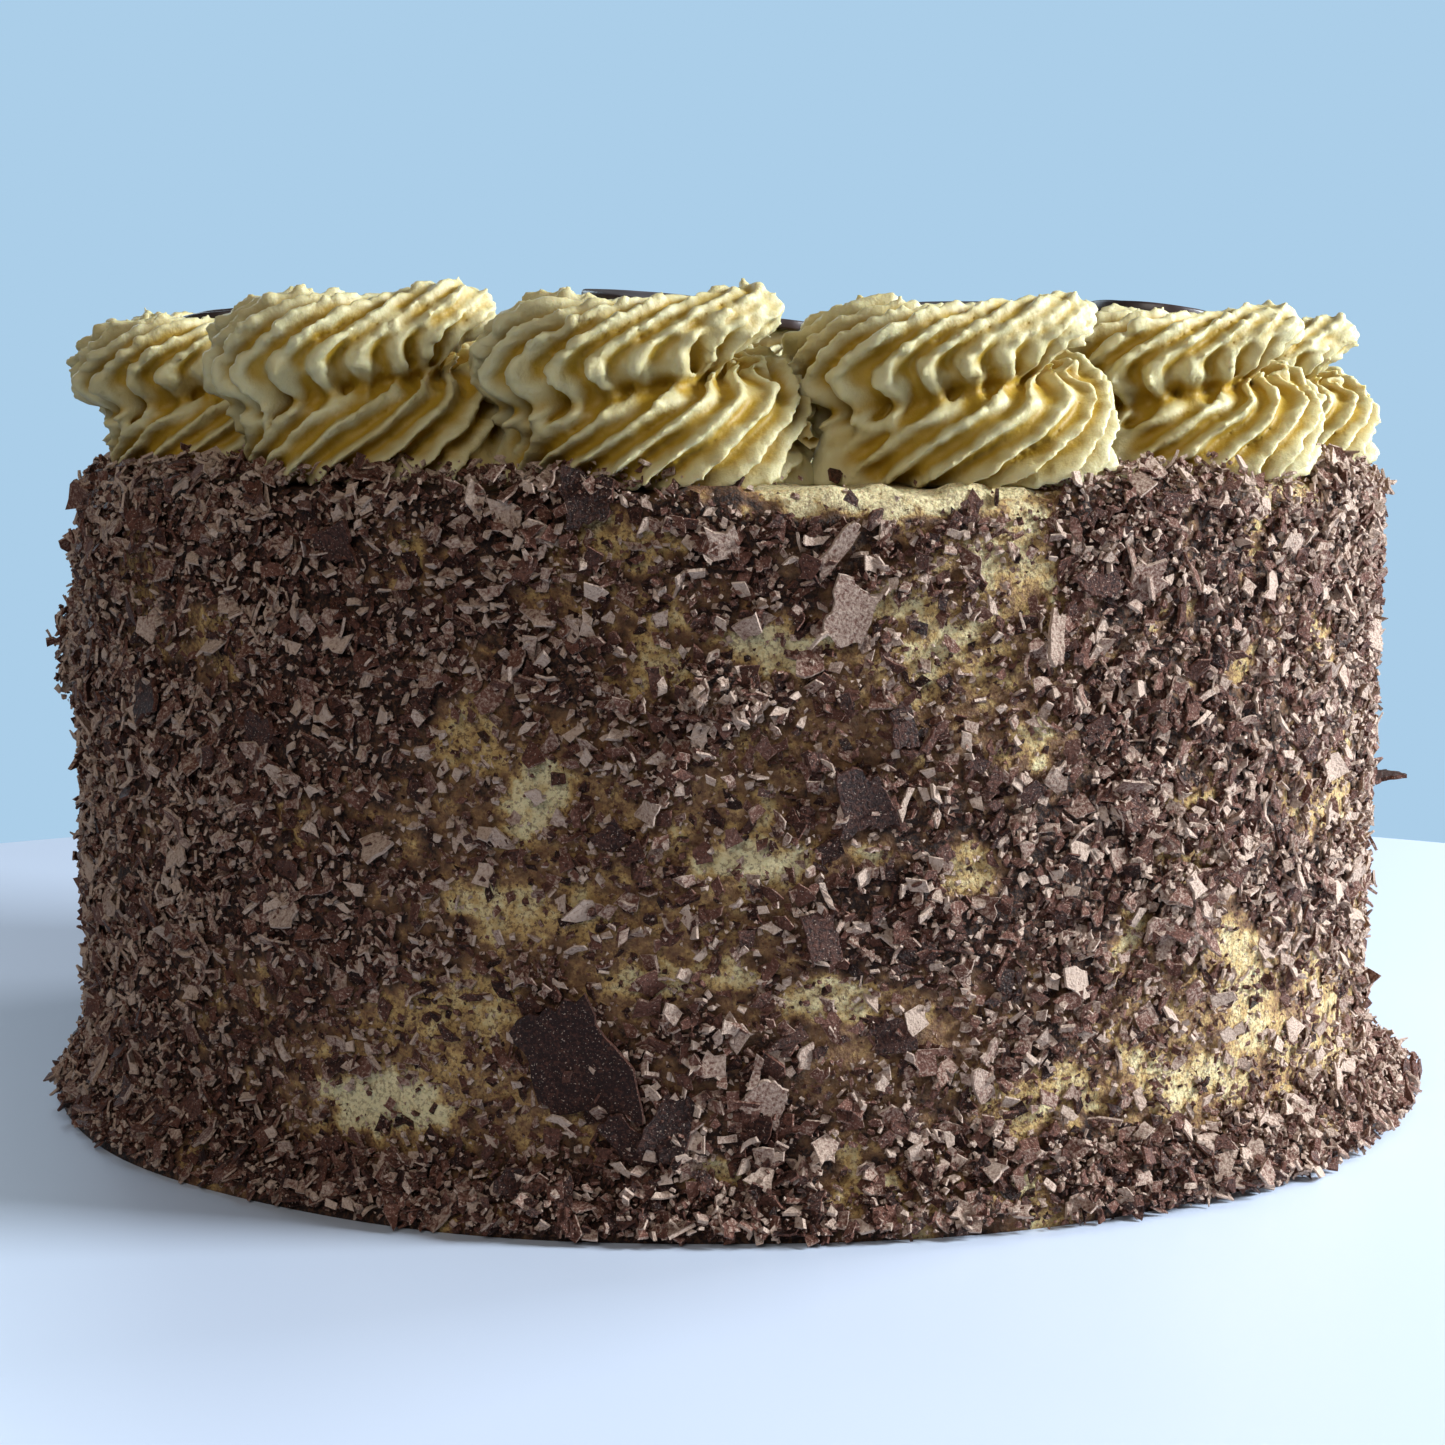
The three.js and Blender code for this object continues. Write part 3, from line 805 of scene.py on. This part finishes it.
def scattered_kind(kind, amount, seed):
    """All flakes of one kind, lying over the wall, the rim and the foot."""
    draw = np.random.default_rng([seed, len(kind.name), kind.count])
    count = max(1, round(kind.count * amount))
    around, length, lift = flake_places(kind, count, draw)
    place, axes, height = surface_frames(around, length)
    sizes = blend(kind.small, kind.large, draw.uniform(0, 1, count) ** 1.7)
    widths = kind.slender * draw.uniform(0.7, 1.25, count)
    thicks = kind.thick * draw.uniform(0.7, 1.4, count)
    bends = kind.bend * draw.uniform(0.15, 1.0, count) * draw.choice([-1, 1], count) + 1e-3
    tip = math.radians(kind.tip_deg)
    turn = rotations(draw.uniform(-math.pi, math.pi, count), tip * draw.normal(0, 0.6, count),
                     tip * draw.normal(0, 0.6, count))
    low, high = kind.tones
    # Painted shade and light: flakes lying deeper, and those at the foot, are painted darker and those on top
    # lighter, for the shadow among heaped flakes
    foot = 1.0 - smooth(height, FOOT_HEIGHT - 3, FOOT_HEIGHT + 4)
    above = np.minimum(lift / (kind.lift * (1.0 + foot)), 1.0) - 0.4 - 0.2 * foot
    # The flakes on the right side get painted light: their tones are raised there
    tones = blend(low, high, draw.beta(0.75, 0.9, count)) + 0.20 * thin_lit_side(around) + 0.35 * above
    base = chip_base(kind.name, kind.cells)
    return joined_flakes(kind.name, base, place + axes[:, :, 2] * (lift + 0.1)[:, None], axes @ turn, sizes,
                         widths, thicks, bends, tones, draw)


def set_plates(seed):
    """The large flakes that are placed one by one from their list."""
    draw = np.random.default_rng(seed)
    around, height, width, length, spin, tip, tone = np.array(PLATES, dtype=float).T
    lengths, _, heights = surface_walk()
    climbed = np.interp(np.minimum(height, BODY_HEIGHT - 2), heights[:TOP_EDGE], lengths[:TOP_EDGE])
    place, axes, _ = surface_frames(np.radians(around), climbed)
    lift = 1.4 + 0.45 * length * np.abs(np.sin(np.radians(tip)))
    turn = rotations(np.radians(spin), np.radians(tip), 0 * tip)
    count = len(PLATES)
    return joined_flakes("large_plates", chip_base("large_plates", PLATE_CELLS),
                         place + axes[:, :, 2] * lift[:, None], axes @ turn, width, length / width,
                         np.full(count, PLATE_THICKNESS), draw.uniform(0.1, 0.4, count), tone, draw)


# Swirls


def swirl_matrix(index):
    """From a swirl's own frame to the cake's, in millimetres: its +X is to its right, seen from outside."""
    ring = math.radians(FIRST_SWIRL_DEG + 360 / SWIRL_COUNT * index)
    at = Vector((SWIRL_RING_RADIUS * math.sin(ring), -SWIRL_RING_RADIUS * math.cos(ring),
                 BODY_HEIGHT + SWIRL_GAP))
    return Matrix.Translation(at) @ Matrix.Rotation(ring, 4, "Z")


def disc_matrix(index):
    """From a disc's own frame to its swirl's, in millimetres."""
    size = SWIRLS[index]
    lean = Matrix.Rotation(math.radians(size.disc_back), 4, "X")
    side = Matrix.Rotation(math.radians(size.disc_right), 4, "Y")
    return Matrix.Translation((0.0, DISC_SETBACK, size.height - size.disc_sink)) @ lean @ side


def moved(points, matrix):
    """Points through a matrix."""
    turn = np.array(matrix.to_3x3())
    return points @ turn.T + np.array(matrix.translation)


def straight_rope(settings):
    """A straight round rope of length 1 and radius 1 with many sides and steps, ready to be bent."""
    mesh = wrapped_grid("rope", settings.lobes * ROPE_SIDES_PER_LOBE, ROPE_STEPS)
    share, row = wrapped_places(mesh, ROPE_STEPS)
    angle = 2 * math.pi * share
    set_points(mesh, np.stack([np.cos(angle), np.sin(angle), 0.5 - row / ROPE_STEPS], axis=-1))
    close_seams(mesh)
    return mesh


def bent_rope(points, settings, seed):
    """The rope's points bent along the coil: star-shaped section, twisting ridges, torn crests and a tail."""
    theta = np.arctan2(points[:, 1], points[:, 0])
    radial = np.hypot(points[:, 0], points[:, 1])
    t = np.clip(0.5 - points[:, 2], 0.0, 1.0)
    degrees = blend(COIL_START_DEG, COIL_END_DEG, t)
    climb = smooth(degrees, CLIMB_FROM_DEG, CLIMB_TO_DEG)
    start = smooth(t, -0.05, 0.10)
    taper = smooth(t, 0.72, 1.06)
    tail = smooth(t, 0.89, 1.0)
    coil = settings.coil_radius / MM * blend(0.86, 1.0, start) + TAIL_SPREAD * tail
    full = settings.rope_radius / MM * blend(0.82, 1.0, start) * blend(0.98, 1.08, climb)
    own = full * blend(1.0, 0.36, taper)
    height = blend(LOWER_TURN_Z, UPPER_TURN_Z, climb) + 0.86 * (full - own) + TAIL_RISE * tail
    turned = theta + settings.twist * np.radians(COIL_END_DEG - COIL_START_DEG) * t
    below = smooth(-np.sin(turned + 0.1), 0.0, 0.95) * smooth(np.cos(turned), -0.9, 0.2)
    angle = np.radians(degrees + UNDERSIDE_DRAG_DEG * below * climb * (1.0 - tail))

    def on_coil(reach):
        """Where the points lie at a distance from the coil's centre line."""
        out = coil + reach * np.cos(turned)
        shift = TIER_SHIFT * (1 - 2 * climb)
        return np.stack([shift + out * np.cos(angle), out * np.sin(angle),
                         height + reach * np.sin(turned)], axis=-1)

    lobes = settings.lobes
    mean = on_coil(own)
    wander = 0.9 / lobes * soft_noise(mean, 6.5, seed + 6)
    leaned = theta + wander + 0.30 / lobes * np.sin(lobes * (theta + wander))
    hollow = (np.sin(0.5 * lobes * leaned) ** 2 + 0.06) ** (0.5 * blend(1.5, 3.8, climb))
    crest = np.maximum(1.0 - hollow, 0.0) ** 0.8
    lumps = 1.3 * np.abs(soft_noise(mean, 3.0, seed)) + 0.9 * np.abs(soft_noise(mean, 2.1, seed + 1)) - 0.7
    torn = blend(0.45, 1.0, climb) * lumps
    depth = settings.lobe_depth * (1.0 + 0.45 * soft_noise(mean, 7.0, seed + 2))
    reach = 1.0 - depth * hollow + 0.14 * crest * torn + 0.05 * soft_noise(mean, 9.0, seed + 3)
    reach += tail * 0.26 * soft_noise(mean, 2.4, seed + 4)
    bent = on_coil(own * radial * reach)
    bent[:, 2] = np.maximum(bent[:, 2], 0.0)
    bent[:, :2] *= blend(1.13, 1.0, smooth(bent[:, 2], 0.0, 6.5))[:, None]
    return bent


def core_shape(turn):
    """A core that fills the coil's middle, and a low base that reaches to the neighbours, in metres."""
    shape = bmesh.new()
    oval = Matrix.Rotation(-turn, 4, "Z") @ Matrix.Diagonal((1.0, BASE_FLATTENING, 1.0, 1.0))
    for (lower, upper, height), sides, place in ((CORE_CONE, 24, Matrix()), (BASE_CONE, 48, oval)):
        raised = place @ Matrix.Translation((0, 0, height * MM / 2))
        bmesh.ops.create_cone(shape, cap_ends=True, segments=sides, radius1=lower * MM, radius2=upper * MM,
                              depth=height * MM, matrix=raised)
    return shape


def pressed_by_disc(points, index, disc):
    """Presses the cream down under its disc."""
    to_disc = disc_matrix(index).inverted()
    local = moved(points, to_disc)
    away = np.hypot(local[:, 0], local[:, 1])
    radius, half = disc.radius / MM, disc.thickness / MM / 2
    under = 1.0 - smooth(away, radius - 0.2, radius + 0.5)
    lowered = np.minimum(local[:, 2], -half + 0.1)
    local[:, 2] = blend(local[:, 2], lowered, under)
    return moved(local, disc_matrix(index))


def neighbour_mean(mesh):
    """A function that takes a value for each point to the mean of its neighbours' values."""
    ends = np.empty(len(mesh.edges) * 2, dtype=np.int64)
    mesh.edges.foreach_get("vertices", ends)
    first, second = ends.reshape(-1, 2).T
    degree = np.maximum(np.bincount(ends, minlength=len(mesh.vertices)), 1)

    def mean(values):
        """Each point's neighbours' mean value."""
        total = np.zeros_like(values)
        np.add.at(total, first, values[second])
        np.add.at(total, second, values[first])
        return total / degree.reshape((-1,) + (1,) * (values.ndim - 1))

    return mean


def point_normals(mesh):
    """The direction that the surface faces at each point."""
    return vectors(mesh.vertex_normals, "vector")


def tiers_parted(points, angle):
    """Presses in the crease between the lower and the upper turn, which climbs with the coil."""
    upper = np.where(angle < COIL_END_DEG - 360, angle + 360, angle)
    lower_z, upper_z = (blend(LOWER_TURN_Z, UPPER_TURN_Z, smooth(turn, CLIMB_FROM_DEG, CLIMB_TO_DEG))
                        for turn in (upper - 360, upper))
    away = np.hypot(points[:, 0], points[:, 1])
    taper = smooth(upper, 540, COIL_END_DEG)
    crease = 0.5 * (lower_z + upper_z) + blend(-1.2, 3.2, taper) + 0.8 * soft_noise(points, 5.0, 41)
    near = np.exp(-((points[:, 2] - crease) / CREASE_WIDTH) ** 2) * smooth(away, 10, 16)
    pressed = points.copy()
    pressed[:, :2] *= (1.0 - CREASE_DEPTH * near / np.maximum(away, 1.0))[:, None]
    return pressed


def softened(mesh, seed):
    """Presses in the crease, rounds the cream's edges, as soft cream does, and leaves it finely rough."""
    mean = neighbour_mean(mesh)
    points = mesh_points(mesh)
    points = tiers_parted(points, np.degrees(np.arctan2(points[:, 1], points[:, 0])) % 360)
    for _ in range(SOFTENING_PASSES):
        points = blend(points, mean(points), 0.6)
    set_points(mesh, points)
    crest = np.clip(1.0 - 2.0 * hollow_share(mesh), 0.0, 1.0)
    beads = (np.abs(soft_noise(points, 2.0, seed + 2)) - 0.25) * blend(0.35, 1.0, smooth(points[:, 2], 9, 17))
    rough = 0.14 * soft_noise(points, 1.6, seed) + 0.09 * soft_noise(points, 0.9, seed + 1)
    set_points(mesh, points + point_normals(mesh) * (rough + 0.9 * crest * beads)[:, None])


def hollow_share(mesh):
    """How hollow the surface is at each point: 0 on crests, 1 deep in the valleys."""
    mean = neighbour_mean(mesh)
    points = mesh_points(mesh)
    normals = point_normals(mesh)
    wide = points
    share = np.zeros(len(points))
    for passes, depth, weight in ((6, 0.28, 0.8), (30, 1.2, 0.9)):
        for _ in range(passes):
            wide = mean(wide)
        bowl = np.sum((wide - points) * normals, axis=1)
        for _ in range(2):
            bowl = 0.5 * bowl + 0.5 * mean(bowl)
        share += weight * (smooth(bowl, -depth, depth) - 0.5)
    return np.clip(0.5 + share, 0.0, 1.0)


def remeshed(piece, grain):
    """A piece's mesh as one closed surface with an even grain."""
    modifier = piece.modifiers.new("join", "REMESH")
    modifier.mode = "VOXEL"
    modifier.voxel_size = grain
    solid = piece.evaluated_get(bpy.context.evaluated_depsgraph_get())
    mesh = bpy.data.meshes.new_from_object(solid)
    bpy.data.objects.remove(piece)
    return mesh


def swirl_mesh(index, rope, settings, disc):
    """One swirl: the bent rope and a core joined into one surface, sized, pressed by its disc and placed."""
    size = SWIRLS[index]
    seed = 100 + 10 * index
    bent = rope.copy()
    points = bent_rope(mesh_points(rope), settings, seed)
    set_points(bent, points)
    shape = core_shape(math.radians(size.turn))
    shape.from_mesh(bent)
    bmesh.ops.recalc_face_normals(shape, faces=shape.faces)
    draft = object_from(mesh_from(shape, "swirl_draft"), "swirl_draft")
    mesh = remeshed(draft, settings.grain)
    softened(mesh, seed + 5)
    across = size.width / (points[:, 0].max() - points[:, 0].min())
    tall = size.height / points[:, 2].max()
    turn = Matrix.Rotation(math.radians(size.turn), 4, "Z")
    surface = moved(mesh_points(mesh) * (across, across, tall), turn)
    surface = pressed_by_disc(surface, index, disc)
    surface[:, 2] -= SWIRL_SINK * (1.0 - smooth(surface[:, 2], 0.0, 3.0))
    set_points(mesh, moved(surface, swirl_matrix(index)))
    # The hollow share is the mask for the valleys' painted shade in the cream's material
    set_attribute(mesh, "hollow", hollow_share(mesh))
    return mesh


# Discs


def disc_mesh(index, settings):
    """One thin disc with softened edges, a little warped."""
    shape = bmesh.new()
    bmesh.ops.create_circle(shape, cap_ends=True, segments=72, radius=settings.radius)
    thicken(shape, settings.thickness)
    caps = [f for f in shape.faces if len(f.verts) > 4]
    for step in (0.12, 0.3, 0.4):
        bmesh.ops.inset_region(shape, faces=caps, thickness=settings.radius * step)
    rims = [e for e in shape.edges if len(e.link_faces) == 2 and e.calc_face_angle(0) > 1.0]
    bmesh.ops.bevel(shape, geom=rims, offset=settings.thickness * 0.22, offset_type="OFFSET", segments=3,
                    profile=0.5, affect="EDGES", material=-1)
    mesh = mesh_from(shape, f"disc_{index + 1:02d}")
    points = mesh_points(mesh)
    warp = 0.18 * soft_noise(points + 50 * index, 9.0, 31)
    points[:, 2] += warp + 0.05 * soft_noise(points, 2.5, 32 + index)
    set_points(mesh, moved(points, swirl_matrix(index) @ disc_matrix(index)))
    return mesh


# Materials


def set_inputs(node, **values):
    """Sets a node's inputs that nothing is linked to, with an underscore for each space in their names."""
    for name, value in values.items():
        node.inputs[name.replace("_", " ")].default_value = value


def new_node(tree, kind, place, options=None, **values):
    """A shader node at a place, with its options and its unlinked inputs set."""
    node = tree.nodes.new(kind)
    node.location = place
    for name, value in (options or {}).items():
        setattr(node, name, value)
    set_inputs(node, **values)
    return node


def feed(tree, socket, value):
    """Links another socket into this one, or sets it to a fixed number or colour."""
    if isinstance(value, bpy.types.NodeSocket):
        tree.links.new(value, socket)
    elif socket.type == "RGBA":
        socket.default_value = (*value, 1.0)
    else:
        socket.default_value = value


def computed(tree, place, operation, *operands, clamped=False):
    """The result of a calculation on sockets and fixed numbers."""
    node = new_node(tree, "ShaderNodeMath", place, {"operation": operation, "use_clamp": clamped})
    for socket, value in zip(node.inputs, operands):
        feed(tree, socket, value)
    return node.outputs[0]


def stored(tree, place, name):
    """A value that the mesh stores for each point or face."""
    return new_node(tree, "ShaderNodeAttribute", place, {"attribute_name": name}).outputs["Fac"]


def object_noise(tree, place, **values):
    """Noise on the object's own coordinates."""
    node = new_node(tree, "ShaderNodeTexNoise", place, **values)
    coordinates = new_node(tree, "ShaderNodeTexCoord", (place[0] - 200, place[1]))
    tree.links.new(coordinates.outputs["Object"], node.inputs["Vector"])
    return node


def mix_colour(tree, place, share, first, second):
    """Mixes two colours, each a socket or a fixed colour, by a share from a socket."""
    node = new_node(tree, "ShaderNodeMix", place, {"data_type": "RGBA"})
    for name, value in (("Factor", share), ("A", first), ("B", second)):
        feed(tree, node.inputs[name], value)
    return node.outputs["Result"]


def ramp(tree, place, share, stops):
    """The colour at a share from a socket, between the given positions and colours."""
    node = new_node(tree, "ShaderNodeValToRGB", place)
    tree.links.new(share, node.inputs["Fac"])
    ends = node.color_ramp.elements
    ends[0].position, ends[0].color = stops[0][0], (*stops[0][1], 1.0)
    ends[1].position, ends[1].color = stops[-1][0], (*stops[-1][1], 1.0)
    for position, colour in stops[1:-1]:
        ends.new(position).color = (*colour, 1.0)
    return node.outputs["Color"]


def grey(value):
    """The same number three times."""
    return (value, value, value)


def between(first, second, share):
    """A colour at a share of the way from the first to the second."""
    return blend(np.array(first), np.array(second), share)


def fine_grain():
    """The group of fine pits and mottling that the cream, the coat and the chocolate share, made once."""
    made = bpy.data.node_groups.get("Fine Grain")
    if made:
        return made
    group = bpy.data.node_groups.new("Fine Grain", "ShaderNodeTree")
    face = group.interface
    face.new_socket("Size", in_out="INPUT", socket_type="NodeSocketFloat").default_value = 900.0
    face.new_socket("Height", in_out="OUTPUT", socket_type="NodeSocketFloat")
    face.new_socket("Mottle", in_out="OUTPUT", socket_type="NodeSocketFloat")
    start = new_node(group, "NodeGroupInput", (-400, 300))
    end = new_node(group, "NodeGroupOutput", (700, 0))
    fine = object_noise(group, (0, 100), Detail=5.0, Roughness=0.62)
    wide = object_noise(group, (0, -200), Scale=130.0, Detail=3.0)
    group.links.new(start.outputs["Size"], fine.inputs["Scale"])
    group.links.new(fine.outputs["Fac"], end.inputs["Height"])
    group.links.new(wide.outputs["Fac"], end.inputs["Mottle"])
    return group


def start_material(name, grain_size, bump_height, **values):
    """A material with its Principled BSDF set and the shared grain as its bump."""
    material = bpy.data.materials.new(name)
    material.use_nodes = True
    tree = material.node_tree
    surface = tree.nodes["Principled BSDF"]
    set_inputs(surface, **values)
    detail = new_node(tree, "ShaderNodeGroup", (-900, -300), {"node_tree": fine_grain()}, Size=grain_size)
    bump = new_node(tree, "ShaderNodeBump", (-300, -300), Strength=1.0, Distance=bump_height)
    tree.links.new(detail.outputs["Height"], bump.inputs["Height"])
    tree.links.new(bump.outputs["Normal"], surface.inputs["Normal"])
    return material, tree, surface, detail


def cream_material(settings):
    """Piped buttercream: pale ridges, valleys painted darker golden as painted shade, and fine pits."""
    material, tree, surface, detail = start_material(
        "piped_buttercream", 1500.0, 0.00018, Roughness=0.56, Specular_IOR_Level=0.36, Subsurface_Weight=0.25,
        Subsurface_Radius=(1.0, 0.65, 0.2), Subsurface_Scale=0.0015, Coat_Weight=0.12, Coat_Roughness=0.42)
    crest, painted_valley_shade = settings.crest, settings.painted_valley_shade
    # The deeper the hollow, the nearer the colour comes to the painted valley shade
    body = ramp(tree, (-650, 200), stored(tree, (-900, 200), "hollow"),
                [(0.0, crest), (0.5, between(crest, painted_valley_shade, 0.45)), (1.0, painted_valley_shade)])
    # Random mottles take on the same darker golden
    spots = ramp(tree, (-650, -100), detail.outputs["Mottle"], [(0.35, grey(0.0)), (0.75, grey(0.35))])
    colour = mix_colour(tree, (-300, 200), spots, body, painted_valley_shade)
    tree.links.new(colour, surface.inputs["Base Color"])
    return material


def coat_material(settings):
    """The coat: bare cream in patches, rubbed with chocolate and specked, with a near-black painted shade
    where flakes are thick.
    """
    material, tree, surface, _ = start_material(
        "cream_coat", 1100.0, 0.0010, Roughness=0.62, Specular_IOR_Level=0.3, Subsurface_Weight=0.12,
        Subsurface_Scale=0.0015)
    cover = stored(tree, (-1300, 300), "cover")
    smear = object_noise(tree, (-1300, 0), Scale=420.0, Detail=6.0, Roughness=0.7)
    specks = object_noise(tree, (-1300, -250), Scale=1700.0, Detail=3.0, Roughness=0.65)
    lowered = computed(tree, (-1050, 100), "ADD", cover, -0.45)
    rubbed = computed(tree, (-1050, 250), "MULTIPLY_ADD", smear.outputs["Fac"], 1.1, lowered)
    # Where the cover is full, the ramp ends in painted shade: the near-black stands in for the shadow in the
    # gaps between flakes
    body = ramp(tree, (-850, 250), rubbed, [(0.18, settings.cream), (0.42, settings.golden),
                                            (0.68, settings.stain), (1.0, settings.shade_under_flakes)])
    speck_share = ramp(tree, (-850, -150), specks.outputs["Fac"], [(0.50, grey(0.0)), (0.60, grey(0.85))])
    not_plain = computed(tree, (-1050, -50), "ADD", cover, -TOP_PLAINNESS, clamped=True)
    specked = computed(tree, (-600, -50), "MULTIPLY", speck_share, not_plain)
    colour = mix_colour(tree, (-450, 200), specked, body, settings.specks)
    tree.links.new(colour, surface.inputs["Base Color"])
    return material


def flake_material(settings):
    """Chocolate flakes: each face's tone runs from smooth and dark to scraped and light."""
    material, tree, surface, detail = start_material("chocolate_flakes", 2100.0, 0.0009,
                                                     Specular_IOR_Level=0.22)
    tone = stored(tree, (-1100, 300), "tone")
    lowered = computed(tree, (-1000, 120), "ADD", tone, -0.70)
    uneven = computed(tree, (-900, 300), "MULTIPLY_ADD", detail.outputs["Height"], 1.4, lowered)
    dark, middle, light = settings.dark, settings.middle, settings.light
    body = ramp(tree, (-650, 300), uneven, [
        (0.0, dark), (0.30, between(dark, middle, 0.55)), (0.55, middle), (0.8, between(middle, light, 0.6)),
        (1.0, light)])
    specks = object_noise(tree, (-1100, -500), Scale=3400.0, Detail=1.0)
    speck_share = ramp(tree, (-900, -500), specks.outputs["Fac"], [(0.67, grey(0.0)), (0.72, grey(0.7))])
    colour = mix_colour(tree, (-300, 300), speck_share, body, light)
    tree.links.new(colour, surface.inputs["Base Color"])
    gloss = ramp(tree, (-650, 0), tone, [(0.0, grey(0.42)), (0.5, grey(0.64)), (1.0, grey(0.8))])
    tree.links.new(gloss, surface.inputs["Roughness"])
    return material


def disc_material(settings):
    """Moulded dark chocolate with a faint bloom."""
    material, tree, surface, detail = start_material("disc_chocolate", 700.0, 0.00006, Roughness=0.36)
    bloom = ramp(tree, (-650, 200), detail.outputs["Mottle"],
                 [(0.45, settings.colour), (0.85, settings.bloom)])
    tree.links.new(bloom, surface.inputs["Base Color"])
    return material


# Operators


class CAKE_OT_stage(Operator):
    """Adds the floor, the lights and the camera"""

    bl_idname = "cake.stage"
    bl_label = "Stage"

    def execute(self, context):
        settings = context.scene.cake_stage
        self.floor(settings)
        for lamp in LAMPS:
            self.light(context, lamp, settings.key_power)
        self.surroundings(context, settings)
        context.scene.view_settings.view_transform = "Standard"
        self.camera(context, settings)
        return {"FINISHED"}

    def floor(self, settings):
        """A round pale table top."""
        shape = bmesh.new()
        bmesh.ops.create_circle(shape, cap_ends=True, segments=128, radius=settings.floor_radius)
        floor = object_from(mesh_from(shape, "floor"), "floor")
        material = bpy.data.materials.new("floor")
        material.use_nodes = True
        surface = material.node_tree.nodes["Principled BSDF"]
        set_inputs(surface, Base_Color=(*settings.floor, 1.0), Roughness=0.35)
        floor.data.materials.append(material)

    def light(self, context, lamp, key_power):
        """A square light that faces the middle of the cake."""
        data = bpy.data.lights.new(lamp.name, "AREA")
        data.size = lamp.size
        data.energy = key_power * lamp.share
        data.color = lamp.colour
        light = bpy.data.objects.new(lamp.name, data)
        light.location = lamp.place
        aim = Vector((0, 0, LIGHT_AIM_HEIGHT)) - Vector(lamp.place)
        light.rotation_mode = "QUATERNION"
        light.rotation_quaternion = aim.to_track_quat("-Z", "Y")
        context.scene.collection.objects.link(light)

    def surroundings(self, context, settings):
        """A bright plain backdrop that lights the cake only faintly."""
        world = context.scene.world or bpy.data.worlds.new("world")
        context.scene.world = world
        world.use_nodes = True
        tree = world.node_tree
        seen = tree.nodes["Background"]
        set_inputs(seen, Color=(*settings.backdrop, 1.0), Strength=1.0)
        ambient = new_node(tree, "ShaderNodeBackground", (-200, -200), Strength=settings.ambient,
                           Color=(*settings.ambient_colour, 1.0))
        ray = new_node(tree, "ShaderNodeLightPath", (-200, 300))
        shown = computed(tree, (0, 300), "MULTIPLY_ADD", ray.outputs["Is Glossy Ray"], settings.reflected,
                         ray.outputs["Is Camera Ray"])
        mixed = new_node(tree, "ShaderNodeMixShader", (200, 0))
        for value, socket in zip((shown, ambient.outputs[0], seen.outputs[0]), mixed.inputs):
            tree.links.new(value, socket)
        tree.links.new(mixed.outputs[0], tree.nodes["World Output"].inputs["Surface"])

    def camera(self, context, settings):
        """The camera, at the photograph's place and angle."""
        data = bpy.data.cameras.new("camera")
        data.sensor_width = 36.0
        data.lens = settings.lens
        data.clip_start = 0.01
        camera = bpy.data.objects.new("camera", data)
        camera.location = (-0.0004, -settings.camera_distance, settings.camera_height)
        camera.rotation_euler = (math.pi / 2 - settings.camera_pitch, 0.0, 0.0)
        context.scene.collection.objects.link(camera)
        context.scene.camera = camera


class CAKE_OT_coat(Operator):
    """Builds the cream coat over the cake's solid"""

    bl_idname = "cake.coat"
    bl_label = "Coat"

    def execute(self, context):
        settings = context.scene.cake_coat
        coat = object_from(coat_mesh(settings), "coat")
        finish_piece(coat, ["cake"], coat_material(settings), True)
        return {"FINISHED"}


class CAKE_OT_flakes(Operator):
    """Scatters the chocolate flakes, one piece for each kind"""

    bl_idname = "cake.flakes"
    bl_label = "Flakes"

    def execute(self, context):
        settings = context.scene.cake_flakes
        material = flake_material(settings)
        meshes = [scattered_kind(kind, settings.amount, settings.seed) for kind in KINDS]
        meshes.append(set_plates(settings.seed + 1))
        for mesh in meshes:
            finish_piece(object_from(mesh, mesh.name), ["cake"], material, False)
        return {"FINISHED"}


class CAKE_OT_swirls(Operator):
    """Pipes the twelve swirls"""

    bl_idname = "cake.swirls"
    bl_label = "Swirls"

    def execute(self, context):
        scene = context.scene
        material = cream_material(scene.cake_swirls)
        rope = straight_rope(scene.cake_swirls)
        finish_ring("swirl", "piped", material,
                    lambda index: swirl_mesh(index, rope, scene.cake_swirls, scene.cake_discs))
        return {"FINISHED"}


class CAKE_OT_discs(Operator):
    """Moulds the twelve chocolate discs"""

    bl_idname = "cake.discs"
    bl_label = "Discs"

    def execute(self, context):
        settings = context.scene.cake_discs
        finish_ring("disc", "moulded", disc_material(settings),
                    lambda index: disc_mesh(index, settings))
        return {"FINISHED"}


class CAKE_PT_panel(Panel):
    """Lists the steps that build the cake"""

    bl_label = "Cake"
    bl_idname = "CAKE_PT_panel"
    bl_space_type = "VIEW_3D"
    bl_region_type = "UI"
    bl_category = "Cake"

    def draw(self, context):
        for operator, name, _ in STEPS:
            box = self.layout.box()
            box.operator(operator.bl_idname)
            settings = getattr(context.scene, name)
            for setting in settings.__annotations__:
                box.prop(settings, setting)


STEPS = (
    (CAKE_OT_coat, "cake_coat", CoatSettings),
    (CAKE_OT_flakes, "cake_flakes", FlakeSettings),
    (CAKE_OT_swirls, "cake_swirls", SwirlSettings),
    (CAKE_OT_discs, "cake_discs", DiscSettings),
    (CAKE_OT_stage, "cake_stage", StageSettings),
)


def register():
    """Adds the settings, the operators and the panel."""
    for operator, name, group in STEPS:
        bpy.utils.register_class(group)
        bpy.utils.register_class(operator)
        setattr(bpy.types.Scene, name, PointerProperty(type=group))
    bpy.utils.register_class(CAKE_PT_panel)


def unregister():
    """Takes them away again."""
    bpy.utils.unregister_class(CAKE_PT_panel)
    for operator, name, group in reversed(STEPS):
        delattr(bpy.types.Scene, name)
        bpy.utils.unregister_class(operator)
        bpy.utils.unregister_class(group)


def main():
    """Registers the add-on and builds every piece."""
    register()
    bpy.ops.cake.coat()
    bpy.ops.cake.flakes()
    bpy.ops.cake.swirls()
    bpy.ops.cake.discs()
    bpy.ops.cake.stage()


if __name__ == "__main__":
    main()
